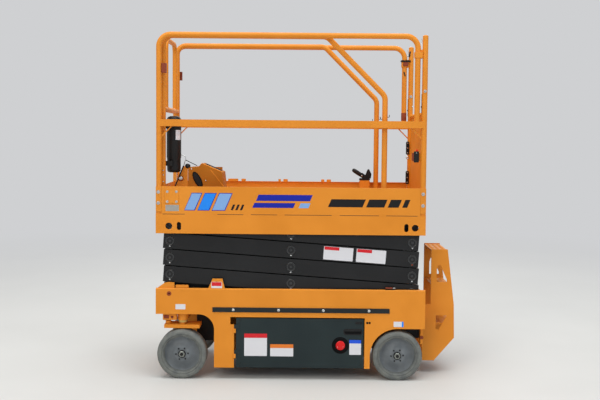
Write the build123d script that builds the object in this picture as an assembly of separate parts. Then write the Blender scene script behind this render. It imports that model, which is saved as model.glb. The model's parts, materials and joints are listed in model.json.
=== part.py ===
"""Electric slab scissor lift with a roll-out platform extension.

Millimetres. +X points to the ladder end, +Y to the far side, +Z up. The origin is on the
ground under the middle of the whole machine. The steered wheels are at the -X end.
"""
import math
import os

from build123d import *

# ---------------------------------------------------------------- driving dimensions
OVERALL_LENGTH = 1870          # chassis end to the ladder's outermost edge
BODY_WIDTH = 744               # over the side plates of chassis and platform
TOP_RAIL = 2109                # middle line of the top rails

# chassis
LADDER_REACH = 215             # from the chassis to the ladder's outermost edge
SIDE_PLATE = 8
CHASSIS_TOP = 562
CHASSIS_BASE = 72              # underside of the middle section
FRONT_SKIRT = 402              # underside of the side plates above the steered wheels
TOP_FLANGE = 20                # width of the flange folded in along the top
END_PLATE_DROP = 40            # from the chassis top to the end plates
BULKHEAD_TOP = 470
SPINE_HALF = 70
STRIP_SETBACK = 349            # from the chassis end to the strip on the side
STRIP_END_SETBACK = 219
STRIP_THICKNESS = 5
STRIP_BOTTOM = 418
STRIP_TOP = 447
LUG_SETBACK = 373
LUG_TOP = 622
LUG_PLATE = 12
LUG_HOLE = 26

# wheels and steering
FRONT_AXLE_SETBACK = 160       # from the chassis end to the steered axle
REAR_AXLE_SETBACK = 167        # from the driven axle to the ladder end of the chassis
TYRE_DIAMETER = 305
TYRE_WIDTH = 100
TYRE_SETBACK = 44              # from the side plate's face to the tyre's middle plane
RIM_DIAMETER = 217
ARCH_GAP = 17                  # between a driven tyre and its arch
SPINDLE = 40
SPINDLE_SETBACK = 6
KINGPIN_SETBACK = 54
KINGPIN_HOUSING = 57
HOUSING_BOTTOM = 358
HOUSING_WALL = 10
BEAM_BOTTOM = 362
BEAM_HALF = 32
KNUCKLE_TOP = 334
KNUCKLE_PLATE = 22
KNUCKLE_WALL = 16
KNUCKLE_WALL_SETBACK = 118
KNUCKLE_HALF = 45
KNUCKLE_NOSE = 108
TIE_ROD_LEVER = 90
TIE_ROD_Z = 344
TIE_ROD = 16
TIE_ROD_EYE = 34
MOTOR_DIAMETER = 150
MOTOR_LENGTH = 120
MOTOR_SETBACK = 102

FRONT_ARCH_END = 359           # from the chassis end to the front post
FRONT_ARCH_RADIUS = 95
HINGE_POST = 123               # width of the post that carries the door hinges
LATCH_POST = 34                # width of the post that carries the door latch
DOOR_OPENING_TOP = 387
NOTCH_DEPTH = 23               # of the opening's upper corner into the hinge post
NOTCH_BOTTOM = 341
RUNNING_GAP = 6                # between a moving piece and its neighbours
SEAT_GAP = 0.3                 # between curved faces that bear on each other

# doors with their trays
DOOR_THICKNESS = 25
DOOR_SHEET = 3
TRAY_GAP = 72                  # from the tray's end to the latch post
PACK_TOP = 340
HINGE_BARREL = 10
LOWER_HINGE = 98               # from the door's bottom edge to the lower hinge
UPPER_HINGE = 52               # from the door's top edge to the upper hinge
STOP_SETBACK = 148
STOP_Z = 217
STOP_RING = 98
STOP_KNOB = 56

# scissor stack
ARM_SETBACK = 159.5            # by which one arm's span is shorter than the chassis
LEVELS = 4
LEVEL_RISE = 103               # height of one scissor level, lowered
BASE_PIN_HEIGHT = 542
FIXED_PIN_SETBACK = 81         # from the ladder end of the chassis to the fixed pins
ARM_DEPTH = 96
ARM_WIDTH = 40
ARM_WALL = 6
ARM_OVERHANG = 40              # beyond the end pins
OUTER_ARM_SETBACK = 52         # from the side plate's face to an arm's middle plane
ARM_STEP = 50                  # from an outer arm's middle plane to an inner one's
PIN_DIAMETER = 36
BOSS_DIAMETER = 60
CROSS_TUBE = 50
ROLLER_DIAMETER = 56
RAISED_ANGLE = 60
TRACK_PLATE = 8
TRACK_SPARE = 45               # track beyond the roller's last place
PIVOT_EAR = 24
PIVOT_HALF = 30

CYLINDER_POINT = 0.40          # of the arm span, from an arm's middle to the cylinder's pin
CYLINDER_DIAMETER = 90
ROD_DIAMETER = 50
CYLINDER_CLOSED_STROKE = 110   # from the gland to the rod's eye when lowered
EYE_DIAMETER = 80
EYE_WIDTH = 50
YOKE_PLATE = 15
YOKE_OFFSET = 60               # from the rod's eye to the tube that joins the yoke

# platform
DECK_SETBACK = 5               # by which the platform is shorter than the chassis
DECK_BOTTOM = 900
DECK_CHANNEL_TOP = 1018
DECK_FLOOR = 1030
FLOOR_PLATE = 4
DECK_WEB = 5
DECK_FLANGE = 26
DECK_HOLE = 42
DECK_HOLE_Z = 945
TOE_TOP = 1188
TOE_PLATE = 3
TOE_LIP = 12
POST_FOOT = 35                 # length of the toe board's end that the post's foot takes

RAIL_DIAMETER = 34
MID_RAIL = 1575
MID_RAIL_DEPTH = 42
RAIL_BEND = 72
MAIN_RAIL_SETBACK = 20
FOLD_GAP = 45                  # between an end post and the folding rail beside it
FOLD_LINK_DROP = 113
BRACKET_TOP = 1935             # the hinge bracket on the front post of the folding loop
BRACKET_HEIGHT = 58
BRACKET_REACH = 28
BRACE = 7
BRACE_REACH = 62

# roll-out extension
EXTENSION_RAIL_STEP = 46       # from a main rail to the extension's rail beside it
EXTENSION_FLOOR = 1058
EXTENSION_SETBACK = 18
EXTENSION_SHORTER = 232        # by which it is shorter than the platform
EXTENSION_POST_SETBACK = 39
EXTENSION_SLOPE_SETBACK = 398  # from its end to where the top rail starts to slope
EXTENSION_SLOPE_DROP = 360
EXTENSION_BEND = 60
EXTENSION_SIDE = 5
SOCKET_HALF = 24
SOCKET_HEIGHT = 70
FRONT_LOOP_DROP = 8            # from the side rails' tops to the front loop's top
FRONT_LOOP_HALF = 190
FRONT_LOOP_TUBE = 30
FRONT_BAR = 1660
TUBE_DIAMETER = 93
TUBE_SETBACK = 73              # from the extension's front to the tube's middle line
TUBE_BOTTOM = 1268
TUBE_CLIPS = (1310, 1540)
TUBE_TOP = 1619
TUBE_INSET = 75
BOX_X = 156                    # from the extension's front to the control box
BOX_Y0 = -190
BOX_Y1 = 40

# gate
GATE_TUBE = 26
GATE_BEND = 40
GATE_BOTTOM = 1075
GATE_TOP = 1640
GATE_HINGE_SETBACK = 36
GATE_FREE_SETBACK = 52
GATE_STRAPS = (1191, 1392)
STRAP_HALF = 34
LATCH_FRONT = 69               # from the gate's plane to the latch box's ends
LATCH_REAR = 20
LATCH_DEPTH = 16
LATCH_HEIGHT = 68
LATCH_Z = 1345

# ladder
LADDER_WIDTH = 340
LADDER_PLATE = 6
LADDER_TOP = 791
LADDER_BOTTOM = 78
LADDER_WAIST = 440
TREAD_PLATE = 4
TREAD_LIP = 24

# ---------------------------------------------------------------- derived places
CHASSIS_LENGTH = OVERALL_LENGTH - LADDER_REACH
WHEELBASE = CHASSIS_LENGTH - FRONT_AXLE_SETBACK - REAR_AXLE_SETBACK
X_FRONT = -OVERALL_LENGTH / 2
X_REAR = X_FRONT + CHASSIS_LENGTH
X_LADDER = OVERALL_LENGTH / 2
X_STEER = X_FRONT + FRONT_AXLE_SETBACK
X_DRIVE = X_STEER + WHEELBASE
AXLE_HEIGHT = TYRE_DIAMETER / 2
ARCH_RADIUS = TYRE_DIAMETER / 2 + ARCH_GAP
REAR_SKIRT = AXLE_HEIGHT + ARCH_RADIUS
HALF_WIDTH = BODY_WIDTH / 2
INNER_WALL = HALF_WIDTH - SIDE_PLATE
X_POST_FRONT = X_FRONT + FRONT_ARCH_END
X_POST_REAR = X_DRIVE - ARCH_RADIUS
X_DOOR_FRONT = X_POST_FRONT + HINGE_POST
X_DOOR_REAR = X_POST_REAR - LATCH_POST
WHEEL_Y = HALF_WIDTH - TYRE_SETBACK
KINGPIN_Y = HALF_WIDTH - KINGPIN_SETBACK
KNUCKLE_WALL_Y = HALF_WIDTH - KNUCKLE_WALL_SETBACK
SPINDLE_END = HALF_WIDTH - SPINDLE_SETBACK
MOTOR_OUTER = HALF_WIDTH - MOTOR_SETBACK
MOTOR_INNER = MOTOR_OUTER - MOTOR_LENGTH
LUG_X = X_FRONT + LUG_SETBACK
WHEELS = [
    # name, axle x, side
    ("steer_near", X_STEER, -1),
    ("steer_far", X_STEER, 1),
    ("drive_near", X_DRIVE, -1),
    ("drive_far", X_DRIVE, 1),
]

HINGE_X = X_DOOR_FRONT + RUNNING_GAP
HINGE_Y = -HALF_WIDTH - 3
DOOR_X0 = X_DOOR_FRONT + 2 * RUNNING_GAP
DOOR_X1 = X_DOOR_REAR - RUNNING_GAP
DOOR_Z0 = CHASSIS_BASE + 2
DOOR_Z1 = DOOR_OPENING_TOP - RUNNING_GAP
TRAY_X1 = X_DOOR_REAR - TRAY_GAP
TRAY_Y = -SPINE_HALF - 10
HINGE_HEIGHTS = (DOOR_Z0 + LOWER_HINGE, DOOR_Z1 - UPPER_HINGE)
STOP_X = X_DOOR_REAR - STOP_SETBACK

ARM_SPAN = CHASSIS_LENGTH - ARM_SETBACK
OUTER_ARM_Y = HALF_WIDTH - OUTER_ARM_SETBACK
INNER_ARM_Y = OUTER_ARM_Y - ARM_STEP
ARM_ANGLE = math.degrees(math.asin(LEVEL_RISE / ARM_SPAN))
ARM_REACH = ARM_SPAN * math.cos(math.radians(ARM_ANGLE))
X_FIXED_PIN = X_REAR - FIXED_PIN_SETBACK
X_ARM_MIDDLE = X_FIXED_PIN - ARM_REACH / 2
X_ROLLING_PIN = X_FIXED_PIN - ARM_REACH
TOP_PIN_HEIGHT = BASE_PIN_HEIGHT + LEVELS * LEVEL_RISE
OUTER_INNER_FACE = OUTER_ARM_Y - ARM_WIDTH / 2
OUTER_OUTER_FACE = OUTER_ARM_Y + ARM_WIDTH / 2
INNER_INNER_FACE = INNER_ARM_Y - ARM_WIDTH / 2
INNER_OUTER_FACE = INNER_ARM_Y + ARM_WIDTH / 2
ROLLING_TRAVEL = ARM_REACH - ARM_SPAN * math.cos(math.radians(RAISED_ANGLE))
CYLINDER_RUN = CYLINDER_POINT * ARM_REACH
CYLINDER_RISE = CYLINDER_POINT * LEVEL_RISE

DECK_LENGTH = CHASSIS_LENGTH - DECK_SETBACK
X_DECK_REAR = X_FRONT + DECK_LENGTH
MAIN_RAIL_Y = HALF_WIDTH - MAIN_RAIL_SETBACK
EXTENSION_RAIL_Y = MAIN_RAIL_Y - EXTENSION_RAIL_STEP
EXTENSION_TOP_RAIL = TOP_RAIL
EXTENSION_SLOPE_END = TOP_RAIL - EXTENSION_SLOPE_DROP
X_EXTENSION = X_FRONT + EXTENSION_SETBACK
EXTENSION_LENGTH = DECK_LENGTH - EXTENSION_SHORTER
EXTENSION_HALF = EXTENSION_RAIL_Y - RAIL_DIAMETER / 2 - 1
X_EXTENSION_POST = X_EXTENSION + EXTENSION_LENGTH - EXTENSION_POST_SETBACK
X_SLOPE_START = X_EXTENSION + EXTENSION_LENGTH - EXTENSION_SLOPE_SETBACK
POST_BOTTOM = DECK_FLOOR + 8
X_GATE = X_DECK_REAR - RAIL_DIAMETER / 2
GATE_HINGE_Y = MAIN_RAIL_Y - GATE_HINGE_SETBACK
GATE_FREE_Y = MAIN_RAIL_Y - GATE_FREE_SETBACK


# ---------------------------------------------------------------- small helpers
def block(x0, x1, y0, y1, z0, z1):
    """A box between two corners."""
    size = (x1 - x0, y1 - y0, z1 - z0)
    middle = ((x0 + x1) / 2, (y0 + y1) / 2, (z0 + z1) / 2)
    return Pos(*middle) * Box(*size)


def shaft_y(x, z, diameter, y0, y1):
    """A round bar along Y."""
    bar = Cylinder(diameter / 2, abs(y1 - y0))
    return Pos(x, (y0 + y1) / 2, z) * Rot(90, 0, 0) * bar


def shaft_z(x, y, diameter, z0, z1):
    """A round bar along Z."""
    return Pos(x, y, (z0 + z1) / 2) * Cylinder(diameter / 2, z1 - z0)


def plate_xz(points, y0, y1):
    """A flat plate in the XZ plane from a closed outline of (x, z) points."""
    outline = Polyline(*[(x, 0, z) for x, z in points], close=True)
    face = make_face(outline)
    return Pos(0, y1, 0) * extrude(face, amount=y1 - y0, dir=(0, -1, 0))


def tube_path(points, radius):
    """Straight runs through the points, joined by arcs of one radius."""
    return FilletPolyline(*points, radius=radius)


def bent_tube(points, radius, diameter):
    """A round tube bent along a path."""
    path = tube_path(points, radius)
    section = Plane(origin=path @ 0, z_dir=path % 0) * Circle(diameter / 2)
    return sweep(section, path=path)


def both_sides(shape):
    """The shape and its mirror image across the machine's middle plane."""
    return [shape, mirror(shape, about=Plane.XZ)]


def far_side(shape):
    """The mirror image of a near-side shape."""
    return mirror(shape, about=Plane.XZ)


PARTS = {}


def node(name, *shapes):
    """Keep one named sub-part; shapes that touch are given as one solid."""
    solids = []
    for shape in shapes:
        solids += list(shape.solids()) if hasattr(shape, "solids") else [shape]
    PARTS[name] = Compound(label=name, children=solids) if len(solids) > 1 else solids[0]


# ---------------------------------------------------------------- chassis
def chassis_side():
    """The near side plate: two wheel arches, the door opening and a folded top."""
    arch_top = (X_POST_FRONT - FRONT_ARCH_RADIUS, FRONT_SKIRT)
    arch_foot = (X_POST_FRONT, FRONT_SKIRT - FRONT_ARCH_RADIUS)
    bend = FRONT_ARCH_RADIUS * math.sin(math.radians(45))
    front_mid = (arch_top[0] + bend, arch_foot[1] + bend)
    drive_mid = (X_DRIVE - ARCH_RADIUS * math.cos(math.radians(45)),
                 AXLE_HEIGHT + ARCH_RADIUS * math.sin(math.radians(45)))

    notch = X_DOOR_FRONT - NOTCH_DEPTH

    def at(point):
        return (point[0], 0, point[1])

    edges = [
        Polyline(at((X_POST_REAR, AXLE_HEIGHT)), at((X_POST_REAR, CHASSIS_BASE)),
                 at((X_DOOR_REAR, CHASSIS_BASE)), at((X_DOOR_REAR, DOOR_OPENING_TOP)),
                 at((notch, DOOR_OPENING_TOP)), at((notch, NOTCH_BOTTOM)),
                 at((X_DOOR_FRONT, NOTCH_BOTTOM)), at((X_DOOR_FRONT, CHASSIS_BASE)),
                 at((X_POST_FRONT, CHASSIS_BASE)), at(arch_foot)),
        ThreePointArc(at(arch_foot), at(front_mid), at(arch_top)),
        Polyline(at(arch_top), at((X_FRONT, FRONT_SKIRT)), at((X_FRONT, CHASSIS_TOP)),
                 at((X_REAR, CHASSIS_TOP)), at((X_REAR, REAR_SKIRT)), at((X_DRIVE, REAR_SKIRT))),
        ThreePointArc(at((X_DRIVE, REAR_SKIRT)), at(drive_mid), at((X_POST_REAR, AXLE_HEIGHT))),
    ]
    face = make_face([edge for piece in edges for edge in piece.edges()])
    wall = Pos(0, -INNER_WALL, 0) * extrude(face, amount=SIDE_PLATE, dir=(0, -1, 0))
    flange = block(X_FRONT, X_REAR, -HALF_WIDTH, -HALF_WIDTH + TOP_FLANGE,
                   CHASSIS_TOP - SIDE_PLATE, CHASSIS_TOP)
    side = wall + flange
    crest = side.edges().filter_by(Axis.X).group_by(Axis.Z)[-1].sort_by(Axis.Y)[0]
    return fillet(crest, SIDE_PLATE - 1)


def chassis_nodes():
    side = chassis_side()
    node("chassis_side_near", side)
    node("chassis_side_far", far_side(side))

    plate = SIDE_PLATE
    ends = [
        block(X_FRONT, X_FRONT + plate, -INNER_WALL, INNER_WALL, FRONT_SKIRT, CHASSIS_TOP - END_PLATE_DROP),
        block(X_REAR - plate, X_REAR, -INNER_WALL, INNER_WALL, REAR_SKIRT, CHASSIS_TOP - END_PLATE_DROP),
        block(X_POST_FRONT, X_POST_FRONT + plate, -INNER_WALL, INNER_WALL,
              CHASSIS_BASE, BULKHEAD_TOP),
        block(X_POST_REAR - plate, X_POST_REAR, -INNER_WALL, INNER_WALL,
              CHASSIS_BASE, BULKHEAD_TOP),
    ]
    node("chassis_cross_plates", *ends)

    spine = block(X_POST_FRONT + plate, X_POST_REAR - plate, -SPINE_HALF, SPINE_HALF,
                  CHASSIS_BASE, BULKHEAD_TOP)
    spine -= block(X_POST_FRONT, X_POST_REAR, -SPINE_HALF + plate, SPINE_HALF - plate,
                   CHASSIS_BASE - 1, BULKHEAD_TOP - plate)
    node("chassis_spine", spine)
    front_well = block(X_FRONT + plate, X_POST_FRONT, -INNER_WALL, INNER_WALL,
                       FRONT_SKIRT, FRONT_SKIRT + plate)
    rear_well = block(X_POST_REAR, X_REAR - plate, -INNER_WALL, INNER_WALL,
                      REAR_SKIRT, REAR_SKIRT + plate)
    node("wheel_well_plates", front_well, rear_well)

    strip = block(X_FRONT + STRIP_SETBACK, X_REAR - STRIP_END_SETBACK,
                  -HALF_WIDTH - STRIP_THICKNESS, -HALF_WIDTH, STRIP_BOTTOM, STRIP_TOP)
    node("side_strips", *both_sides(strip))

    lug_points = [(LUG_X - 51, CHASSIS_TOP), (LUG_X - 25, LUG_TOP),
                  (LUG_X + 36, LUG_TOP), (LUG_X + 51, CHASSIS_TOP)]
    lug = plate_xz(lug_points, -HALF_WIDTH + 4, -HALF_WIDTH + 4 + LUG_PLATE)
    lug -= shaft_y(LUG_X, (CHASSIS_TOP + LUG_TOP) / 2, LUG_HOLE, -HALF_WIDTH, -HALF_WIDTH + 30)
    node("lifting_lugs", *both_sides(lug))


# ---------------------------------------------------------------- axles and steering
def steering_nodes():
    beam = block(X_STEER - BEAM_HALF, X_STEER + BEAM_HALF, -KINGPIN_Y, KINGPIN_Y,
                 BEAM_BOTTOM, FRONT_SKIRT)
    bore = KINGPIN_HOUSING - 2 * HOUSING_WALL
    for side in (-1, 1):
        y = side * KINGPIN_Y
        beam += shaft_z(X_STEER, y, KINGPIN_HOUSING, HOUSING_BOTTOM, FRONT_SKIRT)
        beam -= shaft_z(X_STEER, y, bore, HOUSING_BOTTOM - 1, FRONT_SKIRT - RUNNING_GAP)
    node("steer_axle_beam", beam)

    x_rod = X_STEER - TIE_ROD_LEVER
    inner_face = KNUCKLE_WALL_Y - KNUCKLE_WALL / 2
    top = block(x_rod - 20, X_STEER + KNUCKLE_NOSE, -KINGPIN_Y - 40, -inner_face,
                KNUCKLE_TOP - KNUCKLE_PLATE, KNUCKLE_TOP)
    wall = block(X_STEER - KNUCKLE_HALF, X_STEER + KNUCKLE_HALF,
                 -KNUCKLE_WALL_Y - KNUCKLE_WALL / 2, -inner_face,
                 AXLE_HEIGHT - KNUCKLE_HALF, KNUCKLE_TOP)
    kingpin = shaft_z(X_STEER, -KINGPIN_Y, bore - 1, KNUCKLE_TOP, FRONT_SKIRT - HOUSING_WALL)
    spindle = shaft_y(X_STEER, AXLE_HEIGHT, SPINDLE, -KNUCKLE_WALL_Y, -SPINDLE_END)
    pivot = shaft_z(x_rod, -KINGPIN_Y, TIE_ROD, KNUCKLE_TOP, TIE_ROD_Z + HOUSING_WALL)
    knuckle = top + wall + kingpin + spindle + pivot
    node("knuckle_near", knuckle)
    node("knuckle_far", far_side(knuckle))

    rod = shaft_y(x_rod, TIE_ROD_Z, TIE_ROD, -KINGPIN_Y, KINGPIN_Y)
    half = TIE_ROD_Z - KNUCKLE_TOP - 1
    for side in (-1, 1):
        y = side * KINGPIN_Y
        rod += shaft_z(x_rod, y, TIE_ROD_EYE, TIE_ROD_Z - half, TIE_ROD_Z + half)
        rod -= shaft_z(x_rod, y, TIE_ROD + 1, TIE_ROD_Z - half - 1, TIE_ROD_Z + half + 1)
    node("tie_rod", rod)

    motor = shaft_y(X_DRIVE, AXLE_HEIGHT, MOTOR_DIAMETER, -MOTOR_OUTER, -MOTOR_INNER)
    spindle = shaft_y(X_DRIVE, AXLE_HEIGHT, SPINDLE, -MOTOR_OUTER, -SPINDLE_END)
    half = MOTOR_DIAMETER / 2 - 5
    hanger = block(X_DRIVE - half, X_DRIVE + half, -MOTOR_OUTER + 12, -MOTOR_OUTER + 30,
                   AXLE_HEIGHT, REAR_SKIRT)
    node("drive_motors", *both_sides(motor + spindle + hanger))


def wheel_nodes():
    outer = WHEEL_Y + TYRE_WIDTH / 2
    inner = WHEEL_Y - TYRE_WIDTH / 2
    edge = 8
    r = TYRE_DIAMETER / 2
    seat = RIM_DIAMETER / 2
    bore = SPINDLE / 2 + 0.5
    tyre_profile = [
        # radius, distance from the machine's middle plane
        (seat, inner + 6), (r - edge, inner), (r, inner + edge), (r, outer - edge),
        (r - edge, outer), (seat, outer - 6),
    ]
    wheel_profile = [
        (bore, WHEEL_Y - 18), (46, WHEEL_Y - 18), (52, WHEEL_Y - 2), (seat - 14, WHEEL_Y - 2),
        (seat - 10, inner + 10), (seat, inner + 10), (seat, outer - 10), (seat - 8, outer - 10),
        (seat - 16, WHEEL_Y + 12), (48, WHEEL_Y + 12), (40, WHEEL_Y + 30), (bore, WHEEL_Y + 30),
    ]
    for name, x, side in WHEELS:
        for part, profile in (("tyre", tyre_profile), ("wheel", wheel_profile)):
            section = make_face(Polyline(*[(0, y, radius) for radius, y in profile], close=True))
            ring = Pos(x, 0, AXLE_HEIGHT) * revolve(section, axis=Axis.Y)
            if side < 0:
                ring = far_side(ring)
            node(f"{part}_{name}", ring)


# ---------------------------------------------------------------- side doors with trays
def door_nodes():
    y_out = -HALF_WIDTH
    y_in = y_out + DOOR_THICKNESS
    sheet = DOOR_SHEET
    panel = block(DOOR_X0, DOOR_X1, y_out, y_in, DOOR_Z0, DOOR_Z1)
    panel -= block(DOOR_X0 + sheet, DOOR_X1 - sheet, y_out + sheet, y_in + 1,
                   DOOR_Z0 + sheet, DOOR_Z1 - sheet)
    floor = block(DOOR_X0 + 8, TRAY_X1, y_out + sheet, TRAY_Y, DOOR_Z0, DOOR_Z0 + sheet)
    tray = panel + floor
    for z in HINGE_HEIGHTS:
        tray += block(HINGE_X - 2, DOOR_X0 + 20, HINGE_Y - 2, y_out + 1, z - 12, z + 12)
        tray += shaft_z(HINGE_X, HINGE_Y, HINGE_BARREL, z - 12, z + 12)
    node("door_near", tray)
    node("door_far", far_side(tray))

    pack = block(DOOR_X0 + 30, TRAY_X1 - 10, y_in + 5, TRAY_Y - 12, DOOR_Z0 + sheet, PACK_TOP)
    node("power_unit", pack)
    node("battery_pack", far_side(pack))

    barrels = []
    for z in HINGE_HEIGHTS:
        barrel = shaft_z(HINGE_X, HINGE_Y, HINGE_BARREL, z - 40, z - 12.5)
        leaf = block(HINGE_X - 14, HINGE_X, HINGE_Y - 1, -HALF_WIDTH, z - 40, z - 12.5)
        barrels += both_sides(barrel + leaf)
    node("door_hinges", *barrels)

    ring = shaft_y(STOP_X, STOP_Z, STOP_RING, y_out - 3, y_out)
    knob = shaft_y(STOP_X, STOP_Z, STOP_KNOB, y_out - 7.5, y_out - 3)
    node("stop_button", ring + knob)


# ---------------------------------------------------------------- ladder
def ladder_nodes():
    half = LADDER_WIDTH / 2
    x0 = X_REAR
    outline = [(x0 + 62, LADDER_TOP), (x0 + 166, LADDER_TOP), (X_LADDER - 5, LADDER_WAIST),
               (X_LADDER, 225), (x0 + 88, LADDER_BOTTOM), (x0 + 14, LADDER_BOTTOM),
               (x0 + 4, REAR_SKIRT - 10), (x0, REAR_SKIRT), (x0, LADDER_WAIST),
               (x0 + 62, LADDER_WAIST)]
    stile = plate_xz(outline, -half, -half + LADDER_PLATE)
    holes = [
        [(x0 + 99, 665), (x0 + 107, 692), (x0 + 121, 692), (x0 + 164, 597), (x0 + 164, 583),
         (x0 + 99, 583)],
        [(x0 + 97, 368), (x0 + 165, 368), (x0 + 115, 275), (x0 + 97, 280)],
    ]
    for hole in holes:
        stile -= plate_xz(hole, -half - 1, -half + LADDER_PLATE + 1)
    node("ladder_stiles", *both_sides(stile))

    inner = half - LADDER_PLATE
    tread_table = [
        # top of the tread, start and end from the chassis end
        (LADDER_TOP - 6, 64, 164),
        (560, 70, 188),
        (320, 60, 200),
        (LADDER_BOTTOM + 20, 18, 88),
    ]
    treads = []
    for z, start, end in tread_table:
        tread = block(x0 + start, x0 + end, -inner, inner, z - TREAD_PLATE, z)
        tread += block(x0 + end - TREAD_PLATE, x0 + end, -inner, inner, z - TREAD_LIP, z)
        treads.append(tread)
    node("ladder_treads", *treads)


# ---------------------------------------------------------------- scissor stack
def arm_tube(angle, x_mid, z_mid, y_mid, pin_bores):
    """One rectangular arm, turned about its middle."""
    length = ARM_SPAN + 2 * ARM_OVERHANG
    tube = Box(length, ARM_WIDTH, ARM_DEPTH)
    tube -= Box(length + 2, ARM_WIDTH - 2 * ARM_WALL, ARM_DEPTH - 2 * ARM_WALL)
    for x in pin_bores:
        tube += Pos(x, 0, 0) * Rot(90, 0, 0) * Cylinder(BOSS_DIAMETER / 2, ARM_WIDTH)
        tube -= Pos(x, 0, 0) * Rot(90, 0, 0) * Cylinder(PIN_DIAMETER / 2 + 0.5, ARM_WIDTH + 2)
    return Pos(x_mid, y_mid, z_mid) * Rot(0, angle, 0) * tube


def link_xz(x0, z0, x1, z1, width, y0, y1):
    """A flat link with round ends between two points."""
    length = math.hypot(x1 - x0, z1 - z0)
    slope = math.degrees(math.atan2(z1 - z0, x1 - x0))
    bar = Pos((x0 + x1) / 2, (y0 + y1) / 2, (z0 + z1) / 2) * Rot(0, -slope, 0) * Box(
        length, abs(y1 - y0), width)
    return bar + shaft_y(x0, z0, width, y0, y1) + shaft_y(x1, z1, width, y0, y1)


def rod_yoke(x, z):
    """Where the lift rod pushes: stubs on both arms, joined by a tube above the rod's eye."""
    turn = math.radians(ARM_ANGLE)
    x_tube = x + YOKE_OFFSET * (math.cos(turn) - math.sin(turn))
    z_tube = z + YOKE_OFFSET * (math.cos(turn) + math.sin(turn))
    inner = EYE_WIDTH / 2 + RUNNING_GAP
    width = BOSS_DIAMETER
    half = shaft_y(x, z, CROSS_TUBE, -INNER_INNER_FACE, -inner)
    half += link_xz(x, z, x_tube, z_tube, width, -inner - YOKE_PLATE, -inner)
    half += link_xz(x, z, x_tube, z_tube, width, -INNER_INNER_FACE,
                    -INNER_INNER_FACE + YOKE_PLATE)
    tube = shaft_y(x_tube, z_tube, CROSS_TUBE, -INNER_INNER_FACE, INNER_INNER_FACE)
    return half + far_side(half) + tube


def scissor_nodes():
    half = ARM_SPAN / 2
    for level in range(LEVELS):
        z_low = BASE_PIN_HEIGHT + level * LEVEL_RISE
        z_mid = z_low + LEVEL_RISE / 2
        z_high = z_low + LEVEL_RISE

        # outer arms: high at the front, low at the ladder end, and they carry the pins
        outer = arm_tube(ARM_ANGLE, X_ARM_MIDDLE, z_mid, -OUTER_ARM_Y, ())
        pin_places = [(X_ROLLING_PIN, z_high), (X_ARM_MIDDLE, z_mid), (X_FIXED_PIN, z_low)]
        for x, z in pin_places:
            outer += shaft_y(x, z, PIN_DIAMETER, -OUTER_OUTER_FACE - 3, -INNER_INNER_FACE - 2)
            outer += shaft_y(x, z, BOSS_DIAMETER, -OUTER_INNER_FACE, -INNER_OUTER_FACE - 1)
        if level == LEVELS - 1:
            outer += shaft_y(X_ROLLING_PIN, z_high, ROLLER_DIAMETER,
                             -INNER_OUTER_FACE, -INNER_INNER_FACE)
        node(f"arms_outer_{level + 1}", *both_sides(outer))

        # inner arms: low at the front, high at the ladder end, joined by cross tubes
        inner = arm_tube(-ARM_ANGLE, X_ARM_MIDDLE, z_mid, -INNER_ARM_Y, (-half, 0, half))
        pair = inner + far_side(inner)
        ends = [(X_FIXED_PIN - PIVOT_HALF, z_high)]
        if level == 2:
            pair += rod_yoke(X_ARM_MIDDLE - CYLINDER_RUN, z_mid - CYLINDER_RISE)
        else:
            ends.append((X_ROLLING_PIN + PIVOT_HALF, z_low))
        if level == 0:
            ends.append((X_ARM_MIDDLE + CYLINDER_RUN, z_mid + CYLINDER_RISE))
            for side in (-1, 1):
                pair += shaft_y(X_ROLLING_PIN, z_low, ROLLER_DIAMETER,
                                side * INNER_OUTER_FACE, side * OUTER_OUTER_FACE)
        for x, z in ends:
            pair += shaft_y(x, z, CROSS_TUBE, -INNER_INNER_FACE, INNER_INNER_FACE)
        node(f"arms_inner_{level + 1}", pair)


def base_nodes():
    """What carries the stack on the chassis: rolling tracks and fixed pivots."""
    z_track = BASE_PIN_HEIGHT - ROLLER_DIAMETER / 2 - SEAT_GAP
    start = X_ROLLING_PIN - ROLLER_DIAMETER / 2 - 7
    end = X_ROLLING_PIN + ROLLING_TRAVEL + TRACK_SPARE
    shelf = block(start, end, -INNER_WALL, -OUTER_INNER_FACE + 3, z_track - TRACK_PLATE, z_track)
    node("roller_tracks", *both_sides(shelf))

    beam = block(X_FIXED_PIN - 45, X_FIXED_PIN + 45, -INNER_WALL, INNER_WALL,
                 BULKHEAD_TOP - 40, BULKHEAD_TOP)
    beam -= block(X_FIXED_PIN - 39, X_FIXED_PIN + 39, -INNER_WALL - 1, INNER_WALL + 1,
                  BULKHEAD_TOP - 34, BULKHEAD_TOP - 6)
    for side in (-1, 1):
        y0 = side * INNER_ARM_Y - PIVOT_EAR / 2
        y1 = y0 + PIVOT_EAR
        ear = block(X_FIXED_PIN - PIVOT_HALF, X_FIXED_PIN + PIVOT_HALF, y0, y1,
                    BULKHEAD_TOP, BASE_PIN_HEIGHT)
        ear += shaft_y(X_FIXED_PIN, BASE_PIN_HEIGHT, BOSS_DIAMETER, y0, y1)
        ear -= shaft_y(X_FIXED_PIN, BASE_PIN_HEIGHT, PIN_DIAMETER + 1, y0 - 1, y1 + 1)
        beam += ear
    node("base_pivots", beam)


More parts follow.
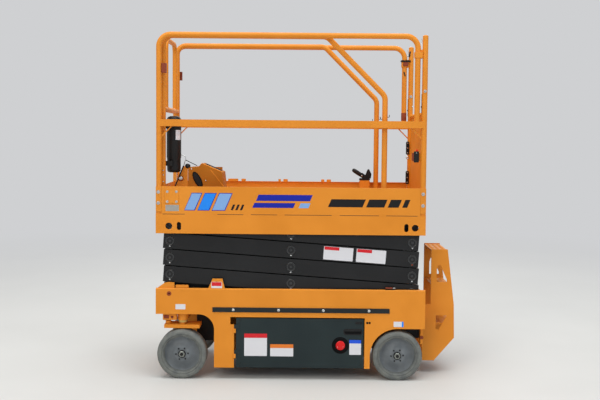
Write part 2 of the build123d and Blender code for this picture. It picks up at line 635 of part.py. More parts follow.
def cylinder_nodes():
    x_foot, x_eye = X_ARM_MIDDLE + CYLINDER_RUN, X_ARM_MIDDLE - CYLINDER_RUN
    z_foot = BASE_PIN_HEIGHT + 0.5 * LEVEL_RISE + CYLINDER_RISE
    z_eye = BASE_PIN_HEIGHT + 2.5 * LEVEL_RISE - CYLINDER_RISE
    length = math.hypot(x_eye - x_foot, z_eye - z_foot)
    slope = math.degrees(math.atan2(z_eye - z_foot, x_foot - x_eye))

    def along(start, end, diameter):
        bar = Rot(0, 90, 0) * Cylinder(diameter / 2, end - start)
        return Pos(-(start + end) / 2, 0, 0) * bar

    def placed(shape):
        return Pos(x_foot, 0, z_foot) * Rot(0, slope, 0) * shape

    eye = Rot(90, 0, 0) * Cylinder(EYE_DIAMETER / 2, EYE_WIDTH)
    hole = Rot(90, 0, 0) * Cylinder(CROSS_TUBE / 2 + 0.5, 2 * EYE_WIDTH)
    neck = 60
    gland = length - CYLINDER_CLOSED_STROKE
    barrel = eye + along(CROSS_TUBE / 2, neck, neck) + along(neck, gland, CYLINDER_DIAMETER)
    barrel -= along(2 * neck, gland + 1, ROD_DIAMETER + 1)
    barrel -= hole
    node("lift_cylinder", placed(barrel))

    rod = along(2 * neck + 10, length - 30, ROD_DIAMETER)
    rod += Pos(-length, 0, 0) * eye
    rod -= Pos(-length, 0, 0) * hole
    node("lift_rod", placed(rod))


# ---------------------------------------------------------------- platform
def deck_side():
    """The near side channel of the platform with its slots."""
    y0 = -HALF_WIDTH
    side = block(X_FRONT, X_DECK_REAR, y0, y0 + DECK_WEB, DECK_BOTTOM, DECK_CHANNEL_TOP)
    side += block(X_FRONT, X_DECK_REAR, y0, y0 + DECK_FLANGE, DECK_BOTTOM, DECK_BOTTOM + DECK_WEB)
    side += block(X_FRONT, X_DECK_REAR, y0 + DECK_WEB - 1, y0 + 2 * DECK_WEB, DECK_BOTTOM,
                  DECK_FLOOR)
    depth = 3 * DECK_WEB
    for x in (X_FRONT + 80, X_DECK_REAR - 64):
        side -= shaft_y(x, DECK_HOLE_Z, DECK_HOLE, y0 - 1, y0 + depth)
    for x in (X_FRONT + 142, X_DECK_REAR - 118):
        side -= block(x - 13, x + 13, y0 - 1, y0 + depth, DECK_HOLE_Z - 12, DECK_HOLE_Z + 12)
        for z in (DECK_HOLE_Z - 12, DECK_HOLE_Z + 12):
            side -= shaft_y(x, z, 26, y0 - 1, y0 + depth)
    return side


def rail_side():
    """The near guard rail: a folding loop, an end post, the middle rail and thin braces."""
    r = RAIL_DIAMETER / 2
    y = -MAIN_RAIL_Y
    front = X_FRONT + r
    rear = X_DECK_REAR - r
    fold_post = rear - FOLD_GAP
    rail = bent_tube([(front, y, DECK_FLOOR), (front, y, TOP_RAIL),
                      (fold_post, y, TOP_RAIL), (fold_post, y, MID_RAIL)],
                     RAIL_BEND, RAIL_DIAMETER)
    rail += block(front, rear, y - r, y + r, MID_RAIL - MID_RAIL_DEPTH / 2,
                  MID_RAIL + MID_RAIL_DEPTH / 2)
    rail += shaft_z(rear, y, RAIL_DIAMETER, DECK_FLOOR, TOP_RAIL)
    link = TOP_RAIL - FOLD_LINK_DROP
    rail += block(fold_post, rear, y - 4, y + 4, link, link + RAIL_DIAMETER)
    z_brace = MID_RAIL - MID_RAIL_DEPTH / 2
    for x, way in ((front + r, 1), (rear - r, -1)):
        rail += link_xz(x - way * 2, z_brace - BRACE_REACH, x + way * BRACE_REACH, z_brace + 2,
                        BRACE, y - BRACE / 2, y + BRACE / 2)
    return rail


def deck_nodes():
    floor = block(X_FRONT, X_DECK_REAR, -HALF_WIDTH + DECK_WEB, HALF_WIDTH - DECK_WEB,
                  DECK_FLOOR - FLOOR_PLATE, DECK_FLOOR)
    side = deck_side()
    node("deck_frame", floor + side + far_side(side))

    y0 = -HALF_WIDTH
    toe_x0, toe_x1 = X_FRONT + POST_FOOT, X_DECK_REAR - POST_FOOT
    toe = block(toe_x0, toe_x1, y0, y0 + TOE_PLATE, DECK_CHANNEL_TOP, TOE_TOP)
    toe += block(toe_x0, toe_x1, y0, y0 + TOE_LIP, TOE_TOP - TOE_PLATE, TOE_TOP)
    node("toe_boards", *both_sides(toe))

    rail = rail_side()
    node("rails_near", rail)
    node("rails_far", far_side(rail))

    r = RAIL_DIAMETER / 2
    x = X_FRONT + 2 * r
    bracket = block(x, x + BRACKET_REACH, -MAIN_RAIL_Y - 14, -MAIN_RAIL_Y + 14,
                    BRACKET_TOP - BRACKET_HEIGHT, BRACKET_TOP)
    node("fold_brackets", *both_sides(bracket))

    z_track = TOP_PIN_HEIGHT + ROLLER_DIAMETER / 2 + SEAT_GAP
    start = X_ROLLING_PIN - ROLLER_DIAMETER / 2 - 7
    end = X_ROLLING_PIN + ROLLING_TRAVEL + TRACK_SPARE
    track = block(start, end, -INNER_OUTER_FACE, -INNER_INNER_FACE, z_track,
                  DECK_FLOOR - FLOOR_PLATE)
    track -= block(start - 1, end + 1, -INNER_OUTER_FACE + DECK_WEB, -INNER_INNER_FACE - DECK_WEB,
                   z_track + TRACK_PLATE, DECK_FLOOR)
    node("deck_tracks", *both_sides(track))

    y0, y1 = -OUTER_ARM_Y - PIVOT_EAR / 2, -OUTER_ARM_Y + PIVOT_EAR / 2
    ear = block(X_FIXED_PIN - PIVOT_HALF, X_FIXED_PIN + PIVOT_HALF, y0, y1,
                TOP_PIN_HEIGHT, DECK_FLOOR - FLOOR_PLATE)
    ear += shaft_y(X_FIXED_PIN, TOP_PIN_HEIGHT, BOSS_DIAMETER, y0, y1)
    ear += shaft_y(X_FIXED_PIN, TOP_PIN_HEIGHT, PIN_DIAMETER, -OUTER_ARM_Y, -INNER_INNER_FACE - 2)
    node("deck_pivots", *both_sides(ear))


def gate_nodes():
    x = X_GATE
    hinge_y, free_y = GATE_HINGE_Y, -GATE_FREE_Y
    r = GATE_TUBE / 2
    frame = bent_tube([(x, hinge_y, GATE_BOTTOM), (x, hinge_y, GATE_TOP), (x, free_y, GATE_TOP),
                       (x, free_y, GATE_BOTTOM)], GATE_BEND, GATE_TUBE)
    frame += shaft_y(x, GATE_BOTTOM + 5, GATE_TUBE, free_y, hinge_y)
    frame += block(x - 2, x + 2, free_y, hinge_y, GATE_BOTTOM + 5, GATE_TOP)
    node("gate", frame)

    post_face = MAIN_RAIL_Y - RAIL_DIAMETER / 2
    straps = []
    for z in GATE_STRAPS:
        z0, z1 = z, z + 2 * STRAP_HALF
        strap = block(x - r, x + r, hinge_y, post_face, z0, z1)
        strap += shaft_z(x, hinge_y, GATE_TUBE + 10, z0, z1)
        strap -= shaft_z(x, hinge_y, GATE_TUBE + 2 * SEAT_GAP, z0 - 1, z1 + 1)
        strap -= block(x - 2 * r, x + 3, hinge_y - 2 * r, hinge_y + 2, z0 - 1, z1 + 1)
        straps.append(strap)
    node("gate_hinges", *straps)

    y0 = -MAIN_RAIL_Y + RAIL_DIAMETER / 2
    latch = block(x - LATCH_FRONT, x - LATCH_REAR, y0, y0 + LATCH_DEPTH,
                  LATCH_Z, LATCH_Z + LATCH_HEIGHT)
    latch += block(x - LATCH_REAR - 1, x + 4, y0, y0 + 5, LATCH_Z + 10, LATCH_Z + LATCH_HEIGHT - 10)
    node("gate_latch", latch)


# ---------------------------------------------------------------- roll-out extension
def control_box():
    """The control station: a sheet box with a sloping lid, and the wings beside it."""
    x, floor = X_EXTENSION + BOX_X, EXTENSION_FLOOR
    outline = [(x, floor), (x, floor + 238), (x + 64, floor + 243), (x + 82, floor + 264),
               (x + 214, floor + 209), (x + 238, floor)]
    box = plate_xz(outline, BOX_Y0, BOX_Y1)
    hollow = [(x + 4, floor - 1), (x + 4, floor + 234), (x + 66, floor + 239),
              (x + 84, floor + 258), (x + 210, floor + 206), (x + 234, floor - 1)]
    return box - plate_xz(hollow, BOX_Y0 + 4, BOX_Y1 - 4)


def extension_rail():
    """The near rail of the extension, sloping down to its rear post."""
    x0 = X_EXTENSION + RAIL_DIAMETER / 2
    y = -EXTENSION_RAIL_Y
    return bent_tube([(x0, y, POST_BOTTOM), (x0, y, EXTENSION_TOP_RAIL),
                      (X_SLOPE_START, y, EXTENSION_TOP_RAIL),
                      (X_EXTENSION_POST, y, EXTENSION_SLOPE_END),
                      (X_EXTENSION_POST, y, POST_BOTTOM)], EXTENSION_BEND, RAIL_DIAMETER)


def extension_nodes():
    x0 = X_EXTENSION
    x1 = X_EXTENSION + EXTENSION_LENGTH
    r = RAIL_DIAMETER / 2
    half = EXTENSION_HALF
    floor = block(x0, x1, -half, half, EXTENSION_FLOOR - FLOOR_PLATE, EXTENSION_FLOOR)
    socket_bottom = POST_BOTTOM - 3
    side = block(x0, x1, -half, -half + EXTENSION_SIDE, DECK_FLOOR + SEAT_GAP, EXTENSION_FLOOR)
    for x in (x0 + r, X_EXTENSION_POST):
        side += block(x - SOCKET_HALF, x + SOCKET_HALF, -EXTENSION_RAIL_Y - r - 3, -half,
                      socket_bottom, socket_bottom + SOCKET_HEIGHT)
        side -= shaft_z(x, -EXTENSION_RAIL_Y, RAIL_DIAMETER + 2 * SEAT_GAP, POST_BOTTOM,
                        socket_bottom + SOCKET_HEIGHT + 1)
    floor += side + far_side(side)
    floor += block(x0, x0 + FLOOR_PLATE, -half, half, DECK_FLOOR + 1, TOE_TOP)
    node("extension_floor", floor)

    rail = extension_rail()
    node("extension_rails_near", rail)
    node("extension_rails_far", far_side(rail))
    reach = EXTENSION_RAIL_Y - r
    bar = shaft_y(x0 + r, FRONT_BAR, RAIL_DIAMETER, -reach, reach)
    loop_top = EXTENSION_TOP_RAIL - FRONT_LOOP_DROP
    loop = bent_tube([(x0 + r, -FRONT_LOOP_HALF, FRONT_BAR), (x0 + r, -FRONT_LOOP_HALF, loop_top),
                      (x0 + r, FRONT_LOOP_HALF, loop_top), (x0 + r, FRONT_LOOP_HALF, FRONT_BAR)],
                     EXTENSION_BEND, FRONT_LOOP_TUBE)
    node("extension_front_bars", bar + loop)

    tube_x = x0 + TUBE_SETBACK
    tube_y = -EXTENSION_RAIL_Y + TUBE_INSET
    tube = shaft_z(tube_x, tube_y, TUBE_DIAMETER, TUBE_BOTTOM, TUBE_TOP)
    for z in TUBE_CLIPS:
        tube += block(x0 + 9, tube_x, -reach + SEAT_GAP, tube_y - TUBE_DIAMETER / 2 + 12, z, z + 30)
    node("document_tube", tube)
    node("control_box", control_box())


chassis_nodes()
steering_nodes()
wheel_nodes()
door_nodes()
ladder_nodes()
scissor_nodes()
base_nodes()
cylinder_nodes()
deck_nodes()
gate_nodes()
extension_nodes()

os.makedirs("parts", exist_ok=True)
for name, shape in PARTS.items():
    export_step(shape, f"parts/{name}.step")
print(len(PARTS), "parts written")
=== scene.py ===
"""Looks of a slab scissor lift: its paints, rubber, hardware, plates, floor, light and camera.

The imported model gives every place: positions come from its nodes' boxes, in metres.
"""
import json
import math

import bmesh
import bpy
from mathutils import Matrix, Vector


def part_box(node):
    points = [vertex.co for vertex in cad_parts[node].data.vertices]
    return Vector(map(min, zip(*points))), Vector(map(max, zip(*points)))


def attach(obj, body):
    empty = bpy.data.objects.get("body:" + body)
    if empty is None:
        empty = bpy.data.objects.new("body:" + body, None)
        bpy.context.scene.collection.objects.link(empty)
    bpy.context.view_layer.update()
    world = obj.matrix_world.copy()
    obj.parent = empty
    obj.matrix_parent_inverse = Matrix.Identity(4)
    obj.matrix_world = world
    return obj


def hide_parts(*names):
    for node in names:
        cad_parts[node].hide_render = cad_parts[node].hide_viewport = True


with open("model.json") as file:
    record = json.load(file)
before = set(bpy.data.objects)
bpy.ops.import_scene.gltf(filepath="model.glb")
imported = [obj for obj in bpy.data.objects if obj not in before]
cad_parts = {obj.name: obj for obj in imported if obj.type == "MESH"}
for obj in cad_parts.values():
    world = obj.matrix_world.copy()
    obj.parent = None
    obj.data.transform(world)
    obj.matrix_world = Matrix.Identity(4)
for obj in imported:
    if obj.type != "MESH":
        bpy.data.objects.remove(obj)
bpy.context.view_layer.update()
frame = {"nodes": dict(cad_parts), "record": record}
NODES = frame["nodes"]
JOINTS = {joint["name"]: joint for joint in frame["record"]["behaviour"]["joints"]}
MM = 0.001
NEAR, FAR = -1, 1
UP = (0, 0, 1)
SIDES = ((NEAR, "near"), (FAR, "far"))


# ---------------- colours and node helpers
def linear(hex_colour):
    """An sRGB hex colour as the linear colour that shaders use."""
    channels = [int(hex_colour[i:i + 2], 16) / 255 for i in (1, 3, 5)]
    return tuple(c / 12.92 if c <= 0.04045 else ((c + 0.055) / 1.055) ** 2.4
                 for c in channels) + (1.0,)


def add_node(material, kind, inputs=None, **settings):
    """Adds one shader node with its settings; an input is a value or another node's output."""
    node = material.node_tree.nodes.new(f"ShaderNode{kind}")
    for name, value in settings.items():
        setattr(node, name, value)
    for name, value in (inputs or {}).items():
        if isinstance(value, bpy.types.NodeSocket):
            material.node_tree.links.new(value, node.inputs[name])
        else:
            node.inputs[name].default_value = value
    return node


def new_material(name):
    """An empty material and its object-space place, in metres."""
    material = bpy.data.materials.new(name)
    material.use_nodes = True
    material.node_tree.nodes.clear()
    place = add_node(material, "TexCoord").outputs["Object"]
    return material, place


def surface(material, colour, roughness, height=None, height_mm=0.1, edge_mm=1.0, gloss=0.3,
            metallic=0.0):
    """Ends a material: rounded edges, a bump in millimetres, and the shader itself."""
    edge = add_node(material, "Bevel", {"Radius": edge_mm * MM}, samples=6)
    normal = edge.outputs["Normal"]
    if height is not None:
        bump = add_node(material, "Bump",
                        {"Height": height, "Distance": height_mm * MM, "Strength": 1.0,
                         "Normal": normal})
        normal = bump.outputs["Normal"]
    inputs = {"Base Color": colour, "Roughness": roughness, "Normal": normal,
              "Specular IOR Level": gloss, "Metallic": metallic}
    principled = add_node(material, "BsdfPrincipled", inputs)
    add_node(material, "OutputMaterial", {"Surface": principled.outputs["BSDF"]})
    return material


def mottled(material, place, size_mm, detail, dark, light):
    """A colour that drifts between two shades over patches of a real size."""
    noise = add_node(material, "TexNoise",
                     {"Vector": place, "Scale": 1000 / size_mm, "Detail": detail})
    spread = add_node(material, "MapRange",
                      {"Value": noise.outputs["Fac"], "From Min": 0.35, "From Max": 0.65})
    mix = add_node(material, "Mix",
                   {0: spread.outputs["Result"], 6: linear(dark), 7: linear(light)},
                   data_type="RGBA")
    return mix.outputs[2], noise.outputs["Fac"]


# ---------------- finishes
def powder_coated_steel(name, dark, light, roughness, worn, gloss=0.3):
    """Sheet steel with baked powder coat: an even colour with a faint orange peel."""
    material, place = new_material(name)
    colour, _ = mottled(material, place, 260, 2.0, dark, light)
    # the skin ripples at about 3 mm, drawn at 4 mm so that it shows
    peel = add_node(material, "TexNoise",
                    {"Vector": place, "Scale": 1000 / 4, "Detail": 1.0})
    # handling leaves slightly duller patches a hand wide
    duller = add_node(material, "TexNoise",
                      {"Vector": place, "Scale": 1000 / 90, "Detail": 3.0})
    sheen = add_node(material, "MapRange",
                     {"Value": duller.outputs["Fac"], "From Min": 0.35, "From Max": 0.7,
                      "To Min": roughness - 0.05, "To Max": roughness + 0.09})
    # sparse chips a few millimetres wide show the primer
    chips = add_node(material, "TexNoise",
                     {"Vector": place, "Scale": 1000 / 24, "Detail": 6.0, "Roughness": 0.7})
    bare = add_node(material, "MapRange",
                    {"Value": chips.outputs["Fac"], "From Min": 0.76, "From Max": 0.79})
    worn_colour = add_node(material, "Mix",
                           {0: bare.outputs["Result"], 6: colour, 7: linear(worn)},
                           data_type="RGBA")
    return surface(material, worn_colour.outputs[2], sheen.outputs["Result"],
                   peel.outputs["Fac"], 0.05, 1.6, gloss)


def solid_grey_rubber():
    """Non-marking solid tyre rubber, pressed in a mould: dull, with scuffs and road dust."""
    material, place = new_material("non_marking_grey_rubber")
    colour, _ = mottled(material, place, 38, 5.0, "#606463", "#757873")
    # grit pits the rubber at about 1.5 mm, drawn at 2.5 mm so that it shows
    grit = add_node(material, "TexNoise",
                    {"Vector": place, "Scale": 1000 / 2.5, "Detail": 4.0})
    return surface(material, colour, 0.78, grit.outputs["Fac"], 0.25, 2.0)


def painted_cast_iron():
    """A sand-cast wheel under grey paint: a soft skin whose grains are about 2 mm."""
    material, place = new_material("grey_painted_cast_iron")
    colour, _ = mottled(material, place, 55, 3.0, "#666C70", "#73797D")
    grain = add_node(material, "TexNoise",
                     {"Vector": place, "Scale": 1000 / 2.2, "Detail": 3.0})
    return surface(material, colour, 0.5, grain.outputs["Fac"], 0.12, 1.5)


def zinc_plated_steel(name, dark, light, roughness):
    """Zinc on turned and headed steel: softly mirrored, and cloudy where it has dulled."""
    material, place = new_material(name)
    colour, cloud = mottled(material, place, 6, 2.0, dark, light)
    return surface(material, colour, roughness, cloud, 0.02, 0.4, gloss=0.5, metallic=1.0)


def hard_chromed_steel():
    """A ground and chromed piston rod: nearly a mirror, with the faintest ripple."""
    material, place = new_material("hard_chromed_steel")
    ripple = add_node(material, "TexNoise",
                      {"Vector": place, "Scale": 1000 / 3, "Detail": 2.0})
    return surface(material, linear("#C6CACC"), 0.14, ripple.outputs["Fac"], 0.01, 0.8,
                   gloss=0.5, metallic=1.0)


def moulded_plastic(name, dark, light, roughness, grain_mm, gloss=0.3):
    """Injection-moulded ABS: an even colour with the mould's spark-eroded grain."""
    material, place = new_material(name)
    colour, _ = mottled(material, place, 120, 2.0, dark, light)
    grain = add_node(material, "TexVoronoi",
                     {"Vector": place, "Scale": 1000 / grain_mm})
    return surface(material, colour, roughness, grain.outputs["Distance"], 0.08, 0.8, gloss)


def printed_vinyl(name, hex_colour):
    """Self-adhesive vinyl film: flat colour, softly glossy, with a faint stipple."""
    material, place = new_material(name)
    stipple = add_node(material, "TexNoise",
                       {"Vector": place, "Scale": 1000 / 5, "Detail": 1.0})
    return surface(material, linear(hex_colour), 0.38, stipple.outputs["Fac"], 0.01, 0.2)


def brushed_aluminium():
    """A blank data plate of brushed aluminium: fine lines along the plate."""
    material, place = new_material("brushed_aluminium")
    stretch = add_node(material, "Mapping",
                       {"Vector": place, "Scale": (30, 900, 1600)})
    lines = add_node(material, "TexNoise",
                     {"Vector": stretch.outputs["Vector"], "Scale": 1.0, "Detail": 2.0})
    return surface(material, linear("#B4B2AC"), 0.36, lines.outputs["Fac"], 0.02, 0.3,
                   gloss=0.5, metallic=1.0)


def studio_floor():
    """A pale painted floor, dull, that runs out into the backdrop's colour far away."""
    material, place = new_material("pale_floor_paint")
    colour, cloud = mottled(material, place, 900, 3.0, "#CCCCC9", "#CFCFCC")
    bump = add_node(material, "Bump",
                    {"Height": cloud, "Distance": 0.2 * MM, "Strength": 1.0})
    paint = add_node(material, "BsdfPrincipled",
                     {"Base Color": colour, "Roughness": 0.7, "Normal": bump.outputs["Normal"]})
    away = add_node(material, "VectorMath", {0: place}, operation="LENGTH")
    fade = add_node(material, "MapRange",
                    {"Value": away.outputs["Value"], "From Min": 2.2, "From Max": 9.0},
                    interpolation_type="SMOOTHSTEP")
    glow = add_node(material, "Emission", {"Color": linear(BACKDROP)})
    both = add_node(material, "MixShader",
                    {0: fade.outputs["Result"], 1: paint.outputs["BSDF"],
                     2: glow.outputs["Emission"]})
    add_node(material, "OutputMaterial", {"Surface": both.outputs["Shader"]})
    return material


BACKDROP = "#CFD0D2"

# the machine's own coat, then its copies: darker and browner with painted shade, and dull, on the
# control box; rubbed dull on the tread plate; matt and lighter, painted light, on the gate's sheet
ORANGE = powder_coated_steel("orange_powder_coat", "#D98620", "#E18D27", 0.5, "#A86A2A")
# the control box stands in the rails' shade: its copy paints that shade in, darker and browner
SHADED_ORANGE = powder_coated_steel("painted_shade_orange_coat", "#B06A1E", "#BA7424", 0.75, "#8A5A2A", 0.12)
SCUFFED = powder_coated_steel("scuffed_orange_powder_coat", "#CE7B1E", "#D68224", 0.85,
                              "#A86A2A", 0.1)
# the gate's copy: matt, and lighter than the machine's orange, painted light on its shaded sheet
LIGHTENED_MATT = powder_coated_steel("painted_light_matt_orange_coat", "#DF8A25", "#E7922B", 0.85, "#A86A2A", 0.1)
# the dark coats: near-black arms, blue-grey doors, the strips along the chassis, small ironwork
CHARCOAL = powder_coated_steel("charcoal_powder_coat", "#141517", "#1A1B1D", 0.44, "#2A2C2E")
SLATE = powder_coated_steel("slate_powder_coat", "#152326", "#1C2A2C", 0.42, "#2C3536")
STRIP_COAT = powder_coated_steel("teal_powder_coat", "#121A1D", "#182023", 0.44, "#252F33")
OXIDE = powder_coated_steel("red_oxide_primer", "#80351C", "#8F4122", 0.55, "#6A3020")
TYRE = solid_grey_rubber()
WHEEL = painted_cast_iron()
ZINC = zinc_plated_steel("zinc_plated_steel", "#B9BDBE", "#D5D8D8", 0.28)
DULLED_ZINC = zinc_plated_steel("dulled_zinc_plated_steel", "#7C807B", "#989C96", 0.42)
CHROME = hard_chromed_steel()
BLACK_ABS = moulded_plastic("black_abs", "#0D0D0E", "#131314", 0.48, 1.5)
BLACK_RUBBER = moulded_plastic("black_rubber", "#0A0A0B", "#101011", 0.75, 2.5, 0.1)
RED_ABS = moulded_plastic("red_abs", "#D01518", "#DC1D1E", 0.3, 1.5)
CASE_PP = moulded_plastic("grey_polypropylene", "#2A2B2D", "#323335", 0.5, 2.0)
WHITE_VINYL = printed_vinyl("white_vinyl", "#D9DADF")
RED_VINYL = printed_vinyl("red_vinyl", "#D2202A")
AMBER_VINYL = printed_vinyl("amber_vinyl", "#E07A2B")
BLUE_VINYL = printed_vinyl("blue_vinyl", "#1E55D8")
NAVY_VINYL = printed_vinyl("navy_vinyl", "#0B1E9C")
SKY_VINYL = printed_vinyl("sky_vinyl", "#1C86EE")
PALE_VINYL = printed_vinyl("pale_blue_vinyl", "#7FA8DC")
BLACK_VINYL = printed_vinyl("black_vinyl", "#0C0C0E")
PLATE = brushed_aluminium()
SATIN_BLACK = powder_coated_steel("satin_black_enamel", "#202224", "#292B2D", 0.24, "#3A3A3A", 0.6)
DARK_STEEL = powder_coated_steel("blackened_steel", "#1B1C1D", "#232425", 0.5, "#3A3A3A")
SEAL_RUBBER = moulded_plastic("yellow_seal_rubber", "#B79A4A", "#C7AC62", 0.5, 2.0)

# the finish of each material slot, then of the nodes that differ from their slot
FINISHES = {
    "yellow_paint": ORANGE, "dark_paint": CHARCOAL, "door_paint": SLATE, "tyre_rubber": TYRE,
    "wheel_paint": WHEEL, "steel": CHROME, "black_plastic": BLACK_ABS, "red_plastic": RED_ABS,
    "battery_case": CASE_PP, "bracket_paint": OXIDE,
}
for subpart in frame["record"]["subparts"]:
    slots = NODES[subpart["node"]].data.materials
    slots.clear()
    slots.append(FINISHES[subpart["material_slot"]])
# the control box takes the orange with painted shade, the gate the matt orange with painted light
for node, finish in (("side_strips", STRIP_COAT), ("tie_rod", ORANGE), ("control_box", SHADED_ORANGE),
                     ("gate", LIGHTENED_MATT)):
    NODES[node].data.materials[0] = finish


# ---------------- places
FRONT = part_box("chassis_side_near")[0][0]
HALF = -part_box("chassis_side_near")[0][1]
ARM_FACE = -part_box("arms_outer_1")[0][1]
RAIL_Y = -sum(corner[1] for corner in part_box("rails_near")) / 2
EXTENSION_Y = -sum(corner[1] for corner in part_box("extension_rails_near")) / 2
RAIL_R = 17 * MM
# millimetres back from the chassis's front
END_POST = 1633
FOLD_POST = 1588
EXTENSION_POSTS = (35, 1397)
DATA_PLATE = 101
# heights in millimetres
CHASSIS_TOP = 562
WELD_SEAM = 1019
# metres that a pin's head stands inside the arm's outermost face
PIN_SINK = 3 * MM
# millimetres from the side plate's face in to the kingpin
KINGPIN_IN = 54


def spot(back, out, up, side=NEAR):
    """A place from millimetres: back from the chassis's front, out from its side, up."""
    return Vector((FRONT + back * MM, side * (HALF + out * MM), up * MM))


def point(x, y, z):
    """A place or a step in metres."""
    return Vector((x, y, z))


def corners(node):
    """The lowest and highest corners of a node at rest."""
    low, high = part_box(node)
    return Vector(low), Vector(high)


# ---------------- ways to make pieces
def placed(name, data):
    """Puts a mesh, a lamp or the camera into the scene as an object."""
    made = bpy.data.objects.new(name, data)
    bpy.context.scene.collection.objects.link(made)
    return made


def piece(name, bm, body, slot, *materials, smooth_deg=35):
    """Turns a mesh in progress into a piece of the object that rides on a body."""
    bmesh.ops.recalc_face_normals(bm, faces=bm.faces)
    mesh = bpy.data.meshes.new(name)
    bm.to_mesh(mesh)
    bm.free()
    for material in materials:
        mesh.materials.append(material)
    for polygon in mesh.polygons:
        polygon.use_smooth = True
    mesh.set_sharp_from_angle(angle=math.radians(smooth_deg))
    made = placed(name, mesh)
    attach(made, body)
    return made


def turned(bm, profile, place, axis, segments=32, index=0):
    """A turned form: (radius, distance along the axis) in millimetres, spun at a place."""
    turn = Vector(axis).normalized().to_track_quat("Z", "Y").to_matrix().to_4x4()
    at = Matrix.Translation(place) @ turn
    rings = []
    for radius, along in profile:
        if radius < 1e-3:
            rings.append([bm.verts.new(at @ Vector((0, 0, along * MM)))])
            continue
        ring = []
        for i in range(segments):
            angle = 2 * math.pi * i / segments
            ring.append(bm.verts.new(at @ Vector((radius * MM * math.cos(angle),
                                                  radius * MM * math.sin(angle), along * MM))))
        rings.append(ring)
    for first, second in zip(rings, rings[1:]):
        if len(first) == len(second) == 1:
            continue
        for i in range(segments):
            j = (i + 1) % segments
            around = [first[i % len(first)], first[j % len(first)],
                      second[j % len(second)], second[i % len(second)]]
            bm.faces.new(list(dict.fromkeys(around))).material_index = index


def slab(bm, middle, size, bevel=0.0, turn=None, index=0):
    """A block of a size in millimetres about its middle, with rounded edges."""
    made = bmesh.ops.create_cube(bm, size=1.0)["verts"]
    at = Matrix.Translation(middle) @ (turn or Matrix.Identity(4))
    for vertex in made:
        vertex.co = at @ Vector([vertex.co[i] * size[i] * MM for i in range(3)])
    faces = {face for vertex in made for face in vertex.link_faces}
    if bevel:
        edges = list(dict.fromkeys(edge for vertex in made for edge in vertex.link_edges))
        grown = bmesh.ops.bevel(bm, geom=edges, offset=bevel * MM, segments=2, affect="EDGES",
                                clamp_overlap=True)
        faces = {face for face in faces if face.is_valid} | set(grown["faces"])
        faces |= {face for vertex in grown["verts"] for face in vertex.link_faces}
    for face in faces:
        face.material_index = index


def flat_shape(bm, outline, depth, at, side=NEAR, tilt=0.0, index=0):
    """An outline of (x, z) in millimetres, tilted about a place and given a depth outward."""
    turn = Matrix.Rotation(math.radians(tilt), 4, "Y")
    front, back = [], []
    for x, z in outline:
        flat = Vector(at) + turn @ Vector((x * MM, 0, z * MM))
        back.append(bm.verts.new(flat))
        front.append(bm.verts.new(flat + Vector((0, side * depth * MM, 0))))
    faces = [bm.faces.new(front), bm.faces.new(list(reversed(back)))]
    for i in range(len(outline)):
        j = (i + 1) % len(outline)
        faces.append(bm.faces.new((front[j], front[i], back[i], back[j])))
    for face in faces:
        face.material_index = index


def rounded(width, height, radius, steps=4):
    """The outline of a rounded rectangle about its middle."""
    outline = []
    for sx, sz, start in ((1, 1, 0), (-1, 1, 90), (-1, -1, 180), (1, -1, 270)):
        cx, cz = sx * (width / 2 - radius), sz * (height / 2 - radius)
        for i in range(steps + 1):
            angle = math.radians(start + 90 * i / steps)
            outline.append((cx + radius * math.cos(angle), cz + radius * math.sin(angle)))
    return outline


def oval(width, height, steps=28):
    """The outline of an ellipse about its middle."""
    return [(width / 2 * math.cos(2 * math.pi * i / steps),
             height / 2 * math.sin(2 * math.pi * i / steps)) for i in range(steps)]


def hex_bolt(bm, place, axis, across, index=0):
    """A washer and a chamfered hexagon head, standing on a surface; across in millimetres."""
    thick = across * 0.14
    turned(bm, [(0, 0), (across * 0.95, 0), (across * 0.95, thick), (0, thick)],
           place, axis, 24, index)
    head = Vector(place) + Vector(axis).normalized() * thick * MM
    r = across / 2 / math.cos(math.pi / 6)
    turned(bm, [(r, 0), (r, across * 0.42), (r * 0.86, across * 0.52), (0, across * 0.52)],
           head, axis, 6, index)


def button_screw(bm, place, axis, diameter, index=0, rise=0.66):
    """A domed screw head with its socket; its rise is a share of its radius."""
    r = diameter / 2
    top = r * rise
    turned(bm, [(0, 0), (r, 0), (r * 0.96, top * 0.45), (r * 0.75, top * 0.84), (r * 0.38, top),
                (r * 0.3, top * 0.45), (0, top * 0.45)], place, axis, 20, index)


def bar_through(bm, points, radius, segments=12, index=0):
    """A round bar in millimetres of radius along a chain of places, with closed ends."""
    points = [Vector(p) for p in points]
    rings = []
    side = None
    for i, place in enumerate(points):
        before = (place - points[i - 1]).normalized() if i else None
        after = (points[i + 1] - place).normalized() if i + 1 < len(points) else None
        along = ((before or after) + (after or before)).normalized()
        side = side or along.orthogonal().normalized()
        side = (side - along * side.dot(along)).normalized()
        other = along.cross(side)
        rings.append([bm.verts.new(place + radius * MM * (
            math.cos(2 * math.pi * k / segments) * side
            + math.sin(2 * math.pi * k / segments) * other)) for k in range(segments)])
    for first, second in zip(rings, rings[1:]):
        for k in range(segments):
            j = (k + 1) % segments
            bm.faces.new((first[k], first[j], second[j], second[k])).material_index = index
    bm.faces.new(list(reversed(rings[0]))).material_index = index
    bm.faces.new(rings[-1]).material_index = index


def label(name, body, middle, size, side, band=None, *inks, tilt=0.0, film=WHITE_VINYL):
    """A blank printed film on a face; its coloured band is (x0, x1, z0, z1) as shares."""
    bm = bmesh.new()
    width, height = size
    flat_shape(bm, rounded(width, height, 3), 0.6, middle, side, tilt)
    if band:
        x0, x1, z0, z1 = band
        outline = [(width * (x - 0.5), height * (z - 0.5))
                   for x, z in ((x0, z0), (x1, z0), (x1, z1), (x0, z1))]
        flat_shape(bm, outline, 0.9, middle, side, tilt, 1)
    piece(name, bm, body, "black_plastic", film, *inks)


# ---------------- wheels
TYRE_RUBBER = 38               # from the tread to the steel band, in millimetres
HUB_BORE = 20.8                # radius
STUDS = 6
STUD_CIRCLE = 37.5             # radius
HUB_NUT = 35                   # across its flats


